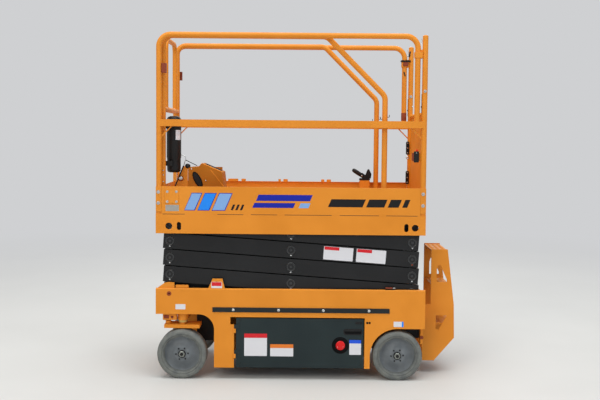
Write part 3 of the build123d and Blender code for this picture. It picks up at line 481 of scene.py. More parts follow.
def tyre_and_wheel(name, side, spindle_body):
    """A pressed-on solid tyre with moulded rings, and its dished wheel, nut and studs."""
    low, high = corners(f"tyre_{name}")
    middle = (low + high) / 2
    outer_y = low.y if side == NEAR else high.y
    face = point(middle.x, outer_y, middle.z)
    width = (high.y - low.y) / MM
    r = (high.z - low.z) / MM / 2
    axis = (0, side, 0)

    bm = bmesh.new()
    seat = r - TYRE_RUBBER
    turned(bm, [
        (seat - 3, -9), (seat, -5), (seat + 3, -3), (seat + 6, -3), (seat + 7, -5),
        (seat + 9, -5), (seat + 10, -2), (seat + 13, -0.6), (seat + 18, -0.4), (r - 12, -2),
        (r - 6, -5), (r - 2, -10), (r, -17), (r, -width + 17), (r - 2, -width + 10),
        (r - 6, -width + 5), (r - 14, -width + 1), (seat + 8, -width), (seat, -width + 4),
        (seat - 6, -width + 9), (seat - 6, -9), (seat - 3, -9)], face, axis, 96)
    tyre = piece(f"solid_tyre_{name}", bm, f"wheel_{name}", "tyre_rubber", TYRE, smooth_deg=28)
    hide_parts(f"tyre_{name}")

    bm = bmesh.new()
    turned(bm, [
        (HUB_BORE, -22), (30, -21), (44, -22), (50, -25), (62, -33), (78, -40), (92, -43),
        (103, -42), (108, -39), (110, -34), (110.5, -9), (seat - 3.4, -7.5), (seat - 3, -9),
        (seat - 4, -width + 10), (104, -width + 10), (100, -76), (52, -66), (40, -62),
        (HUB_BORE, -62), (HUB_BORE, -22)], face, axis, 96)
    for i in range(STUDS):
        angle = math.radians(360 / STUDS * i + 4)
        around = point(math.cos(angle), 0, math.sin(angle))
        stud = face + STUD_CIRCLE * MM * around - Vector(axis) * 22 * MM
        turned(bm, [(0, 0), (5, 0), (5, 4), (3.8, 5), (0, 5)], stud, axis, 12, 1)
    disc = piece(f"dished_wheel_{name}", bm, f"wheel_{name}", "wheel_paint", WHEEL, DARK_STEEL,
                 smooth_deg=30)
    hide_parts(f"wheel_{name}")

    bm = bmesh.new()
    base = face - Vector(axis) * 21.5 * MM
    turned(bm, [(0, 0), (23.5, 0), (23.5, 11), (22.5, 12), (0, 12)], base, axis, 40, 1)
    r_nut = HUB_NUT / 2 / math.cos(math.pi / 6)
    turned(bm, [(r_nut, 12), (r_nut, 16), (r_nut - 2.5, 18), (12, 18), (11, 15), (0, 15)],
           base, axis, 6)
    turned(bm, [(10, 15), (10, 18), (7, 19), (0, 19)], base, axis, 24, 1)
    piece(f"hub_nut_{name}", bm, spindle_body, "steel", DULLED_ZINC, DARK_STEEL)


# ---------------- chassis
def chassis_fittings():
    """Screws, eyes, labels, clips, brackets, and near-black sheets of painted shade in the wheel
    wells, along both side plates.
    """
    for side, word in SIDES:
        axis = (0, side, 0)
        bm = bmesh.new()
        for back in (477, 755, 1030, 1310):
            button_screw(bm, spot(back, 5, 432.5, side), axis, 17, rise=0.3)
        piece(f"strip_screws_{word}", bm, "chassis", "steel", ZINC)

        bm = bmesh.new()
        # the lashing eye punched through the front of the side plate, with its primed rim, and a
        # black disc in its hole: painted shade of the hole
        eye = spot(82, 0, 529, side)
        turned(bm, [(4.5, 0.2), (5, 1.8), (12, 2), (14.5, 0.2)], eye, axis, 32)
        turned(bm, [(4.9, 0.3), (0, 0.3)], eye, axis, 32, 1)
        for back in (1300.5, 1315):
            turned(bm, [(7, 0.2), (6.2, 1.2), (0, 1.4)], spot(back, 0, 358, side), axis, 24, 1)
        piece(f"plate_eyes_{word}", bm, "chassis", "bracket_paint", OXIDE, BLACK_RUBBER)

        label(f"chassis_label_front_{word}", "chassis", spot(152, 0, 448, side), (61, 32), side)
        label(f"chassis_label_rear_{word}", "chassis", spot(1493, 0, 351, side), (61, 33), side,
              (0.82, 1, 0, 1), SKY_VINYL)
        label(f"lug_label_{word}", "chassis", spot(373.5, -4, 584, side), (66, 38), side,
              (0.04, 0.96, 0.34, 0.96), RED_VINYL)

        bm = bmesh.new()
        # stop plate in front of the lower track, and the guide block behind it
        stop = [(8, 0), (52, 32), (78, 36), (112, 34), (114, 0)]
        flat_shape(bm, stop, 10, spot(0, -22, CHASSIS_TOP - 1, side), side)
        slab(bm, spot(160, -17, CHASSIS_TOP + 9, side), (80, 14, 20), 3)
        piece(f"track_guides_{word}", bm, "chassis", "yellow_paint", ORANGE)

        bm = bmesh.new()
        # cable clip with its rubber foot on the top flange, beside the fixed pins
        slab(bm, spot(1440, -11, 565.5, side), (62, 12, 7), 1.5)
        slab(bm, spot(1432, -11, 573, side), (44, 12, 8), 2, index=1)
        slab(bm, spot(1463, -11, 573, side), (16, 12, 8), 2, index=2)
        piece(f"cable_clip_{word}", bm, "chassis", "black_plastic", BLACK_RUBBER, OXIDE, PLATE)

        bm = bmesh.new()
        # bracket and pin of the steering ram beside the kingpin housing
        slab(bm, spot(82, -48, 380, side), (86, 44, 43), 3)
        slab(bm, spot(62, -25.6, 380, side), (32, 1.6, 22), 0.6, index=1)
        hex_bolt(bm, spot(97, -26, 378, side), axis, 9, index=1)
        piece(f"steer_bracket_{word}", bm, "chassis", "bracket_paint", ORANGE, OXIDE)

        bm = bmesh.new()
        # near-black sheets that close the wheel wells towards the middle of the machine: painted
        # shade inside the wells
        slab(bm, spot(292, -282, 292, side), (144, 3, 232), 1)
        slab(bm, spot(1572, -118, 282, side), (150, 3, 84), 1)
        piece(f"well_shade_sheets_{word}", bm, "chassis", "dark_paint", CHARCOAL)

        bm = bmesh.new()
        # tab that the ladder's foot is bolted to
        slab(bm, spot(1641, -70, 268, side), (16, 60, 100), 2)
        hex_bolt(bm, spot(1641, -40, 262, side), axis, 12, index=1)
        piece(f"ladder_tab_{word}", bm, "chassis", "yellow_paint", ORANGE, OXIDE)

        bm = bmesh.new()
        # seal ring round the kingpin, under its housing
        low, high = corners("steer_axle_beam")
        kingpin = point((low.x + high.x) / 2, side * (HALF - KINGPIN_IN * MM), 0.343)
        turned(bm, [(19, 14), (25, 14), (26, 2), (24, 0), (19, 0)], kingpin, UP, 40)
        piece(f"kingpin_seal_{word}", bm, "chassis", "steel", SEAL_RUBBER)


def door_fittings():
    """Blank labels, a flush pull, the latch's slot and screws on each door."""
    for side, word in SIDES:
        body = f"door_{word}"
        axis = (0, side, 0)
        for kind, back, up, size, band_low, ink in (
                ("tall", 615, 216, (140, 139), 0.81, RED_VINYL),
                ("wide", 776, 183, (142, 75), 0.69, AMBER_VINYL),
                ("blue", 1228, 205, (72, 92), 0.77, BLUE_VINYL)):
            label(f"door_label_{kind}_{word}", body, spot(back, 0, up, side), size, side,
                  (0, 1, band_low, 1), ink)
        bm = bmesh.new()
        # flush pull: a moulded cup with a finger lip, and the slot of the door's latch
        cup = spot(1213, 0, 301, side)
        flat_shape(bm, rounded(118, 38, 16, 6), 1.6, cup, side)
        flat_shape(bm, rounded(104, 25, 11, 6), 1.9, cup, side, index=1)
        slab(bm, spot(1213, 2, 309, side), (98, 3, 9), 1.2)
        flat_shape(bm, rounded(46, 15, 7, 6), 1.6, spot(1249, 0, 357, side), side)
        slab(bm, spot(1249, 2, 357, side), (30, 3, 5), 1.0)
        piece(f"door_pull_{word}", bm, body, "black_plastic", BLACK_ABS, BLACK_RUBBER)
        bm = bmesh.new()
        for back, up in ((520, 100), (520, 366), (1262, 100)):
            button_screw(bm, spot(back, 0, up, side), axis, 9)
        piece(f"door_screws_{word}", bm, body, "steel", DARK_STEEL)


def stop_button():
    """The mushroom stop: a black shroud ring and a domed red head, kept to its CAD size."""
    low, high = corners("stop_button")
    middle = (low + high) / 2
    depth = (high.y - low.y) / MM
    ring_r = (high.z - low.z) / MM / 2
    base = point(middle.x, high.y, middle.z)
    axis = (0, NEAR, 0)
    bm = bmesh.new()
    turned(bm, [(0, 0), (52, 0), (52, 0.8), (ring_r, 1.2), (ring_r, 1.6), (ring_r - 3, 3), (34, 3),
                (31, 2.2), (0, 2.2)], base, axis, 56, 1)
    turned(bm, [(20, 2), (20, 3), (28, 3.4), (28.5, 4.6), (27, 5.8), (20, 7), (9, depth),
                (0, depth)], base, axis, 48)
    # three moulded arrows' bars on the head
    for i in range(3):
        angle = math.radians(90 + 120 * i)
        at = base + 20 * MM * point(math.cos(angle), 0, math.sin(angle)) - point(0, 6.4 * MM, 0)
        slab(bm, at, (9, 0.8, 2.4), 0.3, Matrix.Rotation(-angle + math.pi / 2, 4, "Y"), 2)
    made = piece("stop_mushroom", bm, "door_near", "red_plastic", RED_ABS, BLACK_RUBBER,
                 WHITE_VINYL)
    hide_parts("stop_button")


# ---------------- scissor stack
LEVELS = 4


def arm_fittings():
    """Pin caps with their keeper bolts on the outer arms, and blank labels on one of them."""
    roll_x = JOINTS["front_pin_1"]["pos_m"][0]
    fixed_x = JOINTS["lift"]["pos_m"][0]
    middle_x = JOINTS["middle_pin_1"]["pos_m"][0]
    low_z = JOINTS["lift"]["pos_m"][2]
    rise = JOINTS["front_pin_1"]["pos_m"][2] - low_z
    slope = math.degrees(math.atan2(rise, fixed_x - roll_x))
    for level in range(LEVELS):
        z_low = low_z + level * rise
        pins = ((roll_x, z_low + rise), (middle_x, z_low + rise / 2), (fixed_x, z_low))
        bm = bmesh.new()
        for side, _ in SIDES:
            axis = (0, side, 0)
            for x, z in pins:
                at = point(x, side * (ARM_FACE - PIN_SINK), z)
                turned(bm, [(28, 0), (28, 2.6), (26.8, 3.8), (25, 3.8), (23.6, 2.2), (9, 2.2),
                            (8, 3.6), (0, 3.6)], at, axis, 40)
                keeper = at - point(0, 0, 33 * MM)
                slab(bm, keeper + point(0, side * 1.2 * MM, 0), (20, 2.4, 14), 1)
                # one screw on the third level is marked with primer
                marked = level == 2 and x == fixed_x
                button_screw(bm, keeper + point(0, side * 2.4 * MM, 0), axis, 10,
                             2 if marked else 1)
        piece(f"pin_caps_{level + 1}", bm, f"arms_outer_{level + 1}", "dark_paint", SATIN_BLACK,
              ZINC, OXIDE)
    turn = math.radians(slope)
    z_third = low_z + 2.5 * rise
    for side, word in SIDES:
        for i, along in enumerate((292, 494), 1):
            at = point(middle_x + along * MM * math.cos(turn), side * (ARM_FACE - PIN_SINK),
                       z_third - along * MM * math.sin(turn))
            label(f"arm_label_{i}_{word}", "arms_outer_3", at, (182, 82), side,
                  (0.02, 0.52, 0.74, 0.98), RED_VINYL, tilt=slope)


def lift_cylinder_fittings():
    """Welded gland ring and port block on the lift cylinder."""
    low, high = corners("lift_cylinder")
    foot = Vector(JOINTS["cylinder_foot"]["pos_m"])
    along = Vector(JOINTS["cylinder_stroke"]["axis"]).normalized()
    # the barrel is a little shorter than its box, which holds the foot's eye too
    barrel = (high.x - low.x) * 0.93
    bm = bmesh.new()
    gland = foot + along * (barrel - 0.05)
    turned(bm, [(45, 0), (48, 2), (48, 22), (45, 24)], gland, along, 48)
    port = foot + along * 0.1 + point(0, 0, 0.047)
    slab(bm, port, (60, 44, 22), 3)
    turned(bm, [(11, 0), (11, 12), (8, 14), (8, 26), (0, 26)], port + point(0, -0.02, 0.006),
           (0, -1, 0), 24, 1)
    piece("cylinder_gland", bm, "lift_cylinder", "dark_paint", CHARCOAL, ZINC)


# ---------------- platform
def deck_fittings():
    """Post feet, bracket plate, bolts, weld gaps and a blank data plate on each deck side."""
    for side, word in SIDES:
        axis = (0, side, 0)
        bm = bmesh.new()
        # post feet close the ends of the toe boards, each with two bolts
        for back in (17.5, 1632.5):
            slab(bm, spot(back, -2.5, 1110, side), (34, 5, 156), 1)
        slab(bm, spot(98, 1, 1130, side), (88, 4, 92), 1.2)
        for back, up in ((16, 1153), (16, 1086), (1631, 1153), (1631, 1082)):
            hex_bolt(bm, spot(back, 0, up, side), axis, 11, 1)
        for back in (71, 127):
            for up in (1156, 1095):
                hex_bolt(bm, spot(back, 2.2, up, side), axis, 8.5, 1)
        # stitch welds leave dark gaps along the joint of toe board and channel
        for start, end in ((40, 178), (377, 535), (582, 743), (788, 1075), (1124, 1364),
                           (1408, 1599)):
            slab(bm, spot((start + end) / 2, 0, WELD_SEAM, side), (end - start, 0.8, 2.6), index=2)
        piece(f"toe_board_fittings_{word}", bm, "platform", "yellow_paint", ORANGE, ZINC,
              DARK_STEEL)
        label(f"data_plate_{word}", "platform", spot(DATA_PLATE, 0, 1056, side), (82, 38),
              side, film=PLATE)
        bm = bmesh.new()
        for back in (DATA_PLATE - 37, DATA_PLATE + 37):
            for up in (1041, 1071):
                button_screw(bm, spot(back, 0.5, up, side), axis, 4)
        piece(f"data_plate_rivets_{word}", bm, "platform", "steel", ZINC)


def side_stripes():
    """A generic speed-stripe design along the toe boards, in blue, black and pale blue."""
    for side, word in SIDES:
        bm = bmesh.new()

        def bar(start, width, low, high, lean, index):
            outline = [(start, low), (start + width, low), (start + width + lean, high),
                       (start + lean, high)]
            flat_shape(bm, outline, 0.6 if index else 0.4, spot(0, 0, 0, side), side, 0, index)

        # three leaning bars that grow brighter, on a navy ground
        for start, width, index in ((178, 58, 2), (258, 66, 1), (346, 74, 2)):
            bar(start - 4, width + 8, 1042, 1150, 46, 0)
            bar(start, width, 1046, 1146, 44, index)
        # black ticks, then a long blue band in two strakes
        for start in (458, 486, 514):
            bar(start, 14, 1046, 1080, 14, 3)
        bar(612, 330, 1104, 1142, 16, 0)
        bar(590, 250, 1062, 1092, 13, 0)
        bar(872, 60, 1062, 1092, 13, 2)
        # black strakes that shorten towards the ladder
        for start, width in ((1052, 210), (1284, 110), (1416, 66), (1504, 30)):
            bar(start, width, 1070, 1118, 20, 3)
        piece(f"side_stripes_{word}", bm, "platform", "black_plastic", NAVY_VINYL, SKY_VINYL,
              PALE_VINYL, BLACK_VINYL)


def rail_fittings():
    """Sleeves, hinge bolts, caps, pins and wire loops on the folding guard rails."""
    fold_x, end_x = (FRONT + back * MM for back in (FOLD_POST, END_POST))
    for side, word in SIDES:
        y = side * RAIL_Y
        bm = bmesh.new()
        # sleeve of the folding loop, and the hinge bolts of the end post
        slab(bm, point(fold_x + 4 * MM, y, 1.996), (50, 38, 40), 3)
        for way in (side, -side):
            hex_bolt(bm, point(end_x, y + way * RAIL_R, 1.778), (0, way, 0), 10, 1)
        turned(bm, [(0, 0.1), (17, 0.1), (16, 3.6), (12, 6.6), (6, 8.4), (0, 9)],
               point(end_x, y, 2.109), UP, 32)
        button_screw(bm, point(end_x + 12 * MM, y - side * 14 * MM, 1.710), (0, -side, 0), 8, 1)
        # the locking pin's strip and knob, and the loop of wire that keeps the pin
        slab(bm, point(end_x - 17.5 * MM, y, 1.704), (3, 9, 118), 1, index=2)
        button_screw(bm, point(end_x - 18 * MM, y, 1.684), (-1, 0, 0), 13, 3)
        wire = ((17, 2.05), (24, 2.072), (25, 2.087), (17, 2.094))
        bar_through(bm, [point(fold_x + back * MM, y, z) for back, z in wire], 1.6, 8, 1)
        piece(f"rail_fittings_{word}", bm, "platform", "bracket_paint", ORANGE, ZINC, OXIDE,
              DARK_STEEL)
    # the far loop carries a black clamp, a pin on its tether, and a red-brown sleeve
    bm = bmesh.new()
    y = RAIL_Y
    slab(bm, point(fold_x + 6.5 * MM, y - 6 * MM, 2.020), (67, 40, 12), 3)
    slab(bm, point(fold_x + 6 * MM, y - 20 * MM, 1.999), (36, 8, 28), 2, index=1)
    turned(bm, [(0, 0), (4, 0), (4, 30), (0, 30)],
           point(fold_x - 6 * MM, y - RAIL_R - 4 * MM, 1.947), (0.3, 0, -1), 12)
    turned(bm, [(17.2, 0), (18.4, 0.6), (18.4, 53), (17.2, 53.6)], point(fold_x, y, 1.614), UP,
           32, 1)
    turned(bm, [(0, 0), (7, 0), (7, 36), (4, 42), (0, 42)],
           point(fold_x + 30 * MM, y - 10 * MM, 2.05), (0.25, 0, 1), 16)
    piece("fold_clamp_far", bm, "platform", "black_plastic", BLACK_ABS, OXIDE)
    # clips along the inside of the far toe board
    bm = bmesh.new()
    for start, end in ((380, 450), (472, 502), (728, 745), (762, 793), (1024, 1046), (1062, 1092)):
        slab(bm, spot((start + end) / 2, -7, 1195, FAR), (end - start, 10, 18), 2)
    piece("toe_board_clips", bm, "platform", "yellow_paint", ORANGE)


def gate_fittings():
    """Black straps with their screws on the gate's hinges, a ring, and the latch box."""
    axis = (0, NEAR, 0)
    low, _ = corners("gate_hinges")
    bm = bmesh.new()
    for middle in (1225, 1426):
        flat_shape(bm, rounded(23, 91, 10), 4, point(low.x - 3 * MM, low.y + 6 * MM, middle * MM))
        for up in (-33, 0, 33):
            button_screw(bm, point(low.x - 3 * MM, low.y + 2 * MM, (middle + up) * MM), axis, 9, 1)
    turned(bm, [(6, 0), (8.5, 2.5), (11, 0), (8.5, -2.5), (6, 0)],
           point(low.x - 4 * MM, low.y + 2 * MM, 1.362), axis, 24, 1)
    piece("gate_straps", bm, "platform", "black_plastic", BLACK_ABS, ZINC)

    low, high = corners("gate_latch")
    middle = (low + high) / 2
    size = (high - low) / MM
    bm = bmesh.new()
    tongue = size.z * 0.7
    slab(bm, point(low.x + 27 * MM, middle.y, middle.z), (31, size.y, size.z), 2)
    slab(bm, point(low.x + 6 * MM, middle.y, middle.z), (12, size.y - 4, tongue), 1.5, index=1)
    slab(bm, point(low.x + 57 * MM, high.y - 3 * MM, middle.z), (32, 5, tongue), 1, index=4)
    button_screw(bm, point(low.x + 27 * MM, low.y + 0.4 * MM, high.z - 10 * MM), axis, 6, 2)
    slab(bm, point(low.x + 30 * MM, middle.y, high.z + 6 * MM), (13, 10, 12), 3, index=3)
    box = piece("latch_box", bm, "platform", "black_plastic", BLACK_ABS, OXIDE, ZINC, RED_ABS,
                ORANGE)
    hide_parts("gate_latch")


# ---------------- roll-out extension
DOCUMENT_TUBE = 93             # its diameter in millimetres


def extension_fittings():
    """Bolts and spring pins on the extension's posts, and the document tube."""
    posts = [FRONT + back * MM for back in EXTENSION_POSTS]
    for side, word in SIDES:
        y = side * EXTENSION_Y
        axis = (0, side, 0)
        bm = bmesh.new()
        for z in (1283, 1255, 1214):
            button_screw(bm, point(posts[0] + 3 * MM, y + side * 16 * MM, z * MM), axis, 9)
        for x in posts:
            for z in (1095, 1072):
                hex_bolt(bm, point(x, y + side * 20 * MM, z * MM), axis, 9)
        piece(f"extension_bolts_{word}", bm, "extension", "steel", ZINC)
        bm = bmesh.new()
        # spring pins that hold the folding top of the extension's rails
        for way, z in ((-1, 1.608), (1, 1.621)):
            at = point(posts[1] + way * RAIL_R, y, z)
            steps = ((0, 0), (9, 0), (12, 8), (9, 14))
            bar_through(bm, [at + point(way * x * MM, 0, up * MM) for x, up in steps], 2, 8)
        piece(f"extension_pins_{word}", bm, "extension", "steel", DARK_STEEL)
    # the tube touches the far and rear sides of its box, its two clips the other sides
    low, high = corners("document_tube")
    r = DOCUMENT_TUBE / 2
    middle = high - point(r * MM, r * MM, 0)
    tall = (high.z - low.z) / MM
    bm = bmesh.new()
    turned(bm, [(0, 0), (r * 0.55, 0), (r * 0.8, 4), (r - 5, 12), (r - 4, 24), (r - 4, 88),
                (r - 1.5, 93), (r - 1.5, tall - 60), (r - 1.5, tall - 58), (r, tall - 57),
                (r, tall - 40), (r - 1, tall - 22), (r * 0.82, tall - 8), (r * 0.5, tall - 1),
                (0, tall)], point(middle.x, middle.y, low.z), UP, 64)
    for z in (57, 287):
        slab(bm, point(middle.x - 23 * MM, low.y + 12 * MM, low.z + z * MM), (46, 24, 30), 1)
    tube = piece("document_canister", bm, "extension", "black_plastic", BLACK_ABS, smooth_deg=40)
    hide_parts("document_tube")
    # the blank label wraps round the tube, facing forward and out
    bm = bmesh.new()
    rows = [[bm.verts.new(point(middle.x + math.cos(math.radians(turn)) * (r - 1) * MM,
                                middle.y + math.sin(math.radians(turn)) * (r - 1) * MM, z))
             for turn in range(-68, -19, 6)] for z in (1.471, 1.532)]
    for i in range(len(rows[0]) - 1):
        bm.faces.new((rows[0][i], rows[0][i + 1], rows[1][i + 1], rows[1][i]))
    piece("canister_label", bm, "extension", "black_plastic", WHITE_VINYL)


def control_station():
    """The upper controls: pendant with its grip, wire guard, a hand hole filled with painted
    shade, and blank panel.
    """
    low, high = corners("control_box")
    axis = (0, NEAR, 0)
    bm = bmesh.new()

    def on_face(back, up, out=0.0):
        return point(FRONT + back * MM, low.y - out * MM, up * MM)

    # slotted hand hole, leaning back: two black ovals paint the shade inside it, the outer one its
    # rubber edge
    for index, (wide, tall, thick) in enumerate(((45, 110, 3), (33, 96, 3.6))):
        flat_shape(bm, oval(wide, tall), thick, on_face(234, 1222), NEAR, -28, index)
    button_screw(bm, on_face(286, 1215), axis, 8, 2)
    button_screw(bm, on_face(196, 1288), axis, 9, 2)
    piece("hand_hole_painted_shade", bm, "extension", "black_plastic", BLACK_RUBBER, BLACK_ABS, ZINC)

    bm = bmesh.new()
    # leaning side cheek of the pendant's holder with a rubber edge, and the grip above it
    cheek = [(96, 1066), (172, 1066), (172, 1300), (148, 1306), (96, 1180)]
    flat_shape(bm, cheek, 5, on_face(0, 0, -6))
    edge = ((93, 1070), (93, 1180), (146, 1308))
    bar_through(bm, [on_face(x, z, -4) for x, z in edge], 5, 12, 1)
    lean = (0.25, 0, 1)
    turned(bm, [(0, -16), (13, -15), (17, -8), (18, 0), (16, 8), (10, 14), (0, 16)],
           on_face(170, 1306, -14), lean, 32, 1)
    turned(bm, [(5, 0), (5, 26), (0, 26)], on_face(163, 1275, -14), lean, 16, 2)
    turned(bm, [(0, 0), (12, 0), (12, 5), (9, 8), (0, 9)], on_face(129, 1228), axis, 28, 2)
    turned(bm, [(12.4, 0), (16, 0), (16, 4), (12.4, 5)], on_face(129, 1228), axis, 28, 3)
    piece("pendant_holder", bm, "extension", "yellow_paint", ORANGE, BLACK_ABS, ZINC, OXIDE,
          smooth_deg=30)

    bm = bmesh.new()
    hoop = ((104, 1336), (103, 1352), (108, 1370), (116, 1377), (146, 1370), (154, 1362),
            (153, 1345), (146, 1325), (142, 1308))
    for wire in (hoop, ((104, 1336), (98, 1310), (100, 1200))):
        bar_through(bm, [on_face(x, z, -40) for x, z in wire], 2.6, 10)
    bar_through(bm, [on_face(152, 1344, -42), on_face(226, 1308, -42)], 2.4, 10, 1)
    piece("control_guard", bm, "extension", "steel", ZINC, DARK_STEEL, smooth_deg=60)

    bm = bmesh.new()
    # rolled edge across the near cheek, and the far cheek that stands above the lid, in the
    # control box's orange with painted shade
    bar_through(bm, [on_face(315, 1284, -1), on_face(398, 1180, -1)], 2.6, 10)
    wing = [(323, 1262), (370, 1240), (370, 1295), (323, 1295)]
    flat_shape(bm, wing, 3, point(FRONT, high.y, 0), index=1)
    piece("control_box_edges", bm, "extension", "yellow_paint", ORANGE, SHADED_ORANGE)

    # flush overlay and rocker switches on the sloping lid
    slope = math.atan2(55, 132)
    lid = Matrix.Rotation(slope, 4, "Y")
    y_mid = (low.y + high.y) / 2

    def on_lid(along, across, out=0.0):
        start = point(low.x + 82 * MM, y_mid, high.z)
        way = point(math.cos(slope), 0, -math.sin(slope))
        up = point(math.sin(slope), 0, math.cos(slope))
        return start + way * along * MM + point(0, across * MM, 0) + up * out * MM

    bm = bmesh.new()
    # a rolled rim runs down the near edge of the lid
    bar_through(bm, [on_lid(2, -110, 3.4), on_lid(138, -110, 3.4)], 4, 12, 2)
    slab(bm, on_lid(70, 0, 0.2), (112, 190, 0.8), 0.2, lid)
    for across in (-62, -22, 18):
        slab(bm, on_lid(62, across, 1.5), (30, 22, 3), 1, lid, 1)
    piece("control_panel", bm, "extension", "black_plastic", BLACK_RUBBER, BLACK_ABS, ORANGE)


def tread_plate():
    """Raised lozenges of the tread plate on the extension's floor, each turned from the next."""
    low, high = corners("extension_floor")
    box_low, box_high = corners("control_box")
    bm = bmesh.new()
    pitch, length, width, height = 38, 26, 8, 1.6
    crown, clear = 0.55, 20 * MM
    columns = int((high.x - low.x) / MM / pitch) - 1
    rows = int((high.y - low.y) / MM / pitch) - 2
    for i in range(columns):
        for j in range(rows):
            at = point(low.x + (i + 1) * pitch * MM, (j - (rows - 1) / 2) * pitch * MM, box_low.z)
            if (box_low.x - clear < at.x < box_high.x + clear
                    and box_low.y - clear < at.y < box_high.y + clear):
                continue
            turn = math.radians(45 if (i + j) % 2 else -45)
            along = point(math.cos(turn), math.sin(turn), 0) * length / 2 * MM
            across = point(-math.sin(turn), math.cos(turn), 0) * width / 2 * MM
            up = point(0, 0, height * MM)
            ways = (along, across, -along, -across)
            base = [bm.verts.new(at + way) for way in ways]
            top = [bm.verts.new(at + way * crown + up) for way in ways]
            bm.faces.new(top)
            for k in range(4):
                bm.faces.new((base[k], base[(k + 1) % 4], top[(k + 1) % 4], top[k]))
    piece("tread_plate", bm, "extension", "yellow_paint", SCUFFED)


def extension_lock():
    """The foot lever that locks the roll-out extension, on its stand by the far side."""
    bm = bmesh.new()
    foot = point(FRONT + 1318 * MM, 0.273, 0)

    def off_foot(back, across, up):
        return foot + point(back, across, up) * MM

    slab(bm, off_foot(0, 0, 1132), (72, 28, 148), 4)
    slab(bm, off_foot(0, 0, 1212), (74, 28, 14), 3, index=1)
    lean = math.radians(33)
    turned(bm, [(0, -38), (8, -37), (13, -31), (14.5, -20), (14.5, 16), (13, 28), (8, 36),
                (0, 38)], off_foot(-52, 0, 1258), (-math.cos(lean), 0, math.sin(lean)), 28, 1)
    slab(bm, off_foot(-8, 0, 1232), (56, 26, 30), 6, Matrix.Rotation(lean, 4, "Y"), 1)
    flat_shape(bm, [(2, 0), (42, 0), (46, 30), (38, 46), (29, 64), (19, 58), (8, 30)], 26,
               off_foot(0, 13, 1218), index=1)
    button_screw(bm, off_foot(-20, -13, 1236), (0, NEAR, 0), 12, 2)
    piece("extension_lock_lever", bm, "extension", "yellow_paint", ORANGE, BLACK_ABS, ZINC)


# ---------------- ladder
def ladder_fittings():
    """Bolts of the ladder's side plates, and the raised studs on its treads."""
    low, high = corners("ladder_stiles")
    bm = bmesh.new()
    for y, side in ((low.y, NEAR), (high.y, FAR)):
        for up in (455, 345):
            hex_bolt(bm, point(FRONT + 1664 * MM, y, up * MM), (0, side, 0), 13)
    piece("ladder_bolts", bm, "chassis", "steel", ZINC)
    rear, rows = 1655, 3
    bm = bmesh.new()
    for z, start, end in ((785, 66, 160), (560, 72, 184), (320, 62, 196), (98, 20, 84)):
        for row in range(rows):
            x = FRONT + (rear + start + (end - start) * (row + 0.5) / rows) * MM
            for across in range(-128, 129, 32):
                turned(bm, [(9, 0), (7.5, 1.6), (6, 2.2), (5, 1.2), (0, 1.0)],
                       point(x, across * MM, z * MM), UP, 16)
    piece("tread_studs", bm, "chassis", "yellow_paint", ORANGE)


for side, word in SIDES:
    tyre_and_wheel(f"steer_{word}", side, f"knuckle_{word}")
for side, word in SIDES:
    tyre_and_wheel(f"drive_{word}", side, "chassis")
chassis_fittings()
door_fittings()
stop_button()
arm_fittings()
lift_cylinder_fittings()
deck_fittings()
side_stripes()
rail_fittings()
gate_fittings()
extension_fittings()
control_station()
tread_plate()
extension_lock()
ladder_fittings()


# ---------------- floor, light, camera
FLOOR_HALF = 400               # metres from the middle of the floor to its edges
CAMERA_PLACE = (-0.0406, -5.7151, 1.4903)
CAMERA_DOWN = math.radians(3.2)
CAMERA_ROLL = 0.0087
CAMERA_YAW = 0.0027
SENSOR, LENS = 36, 52.704      # millimetres
SHIFT_Y = -0.0218333           # part of the frame's width
LAMPS = (                      # name, place, size, watts, colour
    ("key", (-4.6, -9.6, 7.2), (5.0, 4.0), 395, "#FFF8EE"),
    ("fill", (6.8, -9.0, 4.0), (5.0, 4.0), 150, "#F2F6FF"),
    ("ceiling", (0.0, -2.0, 11.0), (9.0, 6.0), 900, "#FFFFFF"),
    ("back", (0.8, 6.5, 5.2), (5.0, 3.0), 110, "#FFFFFF"))
LAMP_TARGET = Vector((0, 0, 1.0))


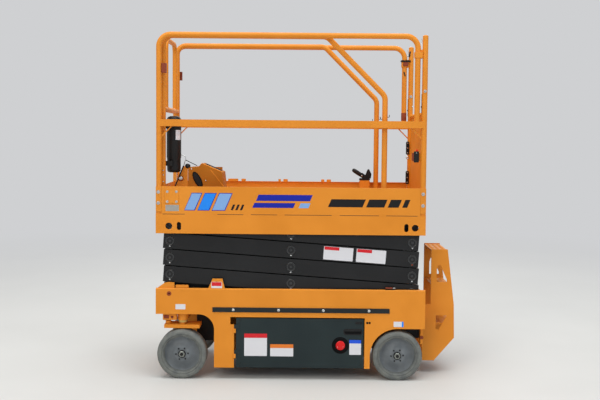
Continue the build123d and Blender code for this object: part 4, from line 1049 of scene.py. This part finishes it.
def stage_floor():
    """The plain floor, which isn't part of the lift."""
    bm = bmesh.new()
    bmesh.ops.create_grid(bm, x_segments=1, y_segments=1, size=FLOOR_HALF)
    mesh = bpy.data.meshes.new("studio_floor")
    bm.to_mesh(mesh)
    bm.free()
    mesh.materials.append(studio_floor())
    placed("studio_floor", mesh)


def lamp(name, place, size, watts, hex_colour):
    """One soft rectangular lamp that points at the middle of the lift."""
    light = bpy.data.lights.new(name, "AREA")
    light.shape = "RECTANGLE"
    light.size, light.size_y = size
    light.energy = watts
    light.color = linear(hex_colour)[:3]
    holder = placed(name, light)
    holder.location = place
    holder.rotation_euler = (LAMP_TARGET - holder.location).to_track_quat("-Z", "Y").to_euler()


def light_the_room():
    """Even light from the room, a pale backdrop for the camera and for gloss, and the lamps."""
    world = bpy.data.worlds.new("soft_room")
    bpy.context.scene.world = world
    world.use_nodes = True
    world.node_tree.nodes.clear()
    path = add_node(world, "LightPath")
    seen = path.outputs["Is Camera Ray"]
    for ray in ("Is Glossy Ray", "Is Transmission Ray"):
        seen = add_node(world, "Math", {0: seen, 1: path.outputs[ray]},
                        operation="MAXIMUM").outputs[0]
    room = add_node(world, "Background", {"Color": linear("#E9ECEF"), "Strength": 0.53})
    backdrop = add_node(world, "Background",
                        {"Color": linear(BACKDROP), "Strength": 1.0})
    both = add_node(world, "MixShader",
                    {0: seen, 1: room.outputs[0], 2: backdrop.outputs[0]})
    add_node(world, "OutputWorld", {"Surface": both.outputs[0]})
    for settings in LAMPS:
        lamp(*settings)


def set_camera():
    """The camera in front of the near side, at about chest height."""
    camera = bpy.data.cameras.new("camera")
    camera.sensor_width, camera.lens = SENSOR, LENS
    camera.shift_y = SHIFT_Y
    camera.clip_start, camera.clip_end = 0.1, 100
    holder = placed("camera", camera)
    aim = (Matrix.Rotation(CAMERA_YAW, 4, "Z")
           @ Matrix.Rotation(math.pi / 2 - CAMERA_DOWN, 4, "X")
           @ Matrix.Rotation(CAMERA_ROLL, 4, "Z"))
    holder.matrix_world = Matrix.Translation(CAMERA_PLACE) @ aim
    bpy.context.scene.camera = holder


stage_floor()
light_the_room()
set_camera()
bpy.context.scene.view_settings.view_transform = "Standard"
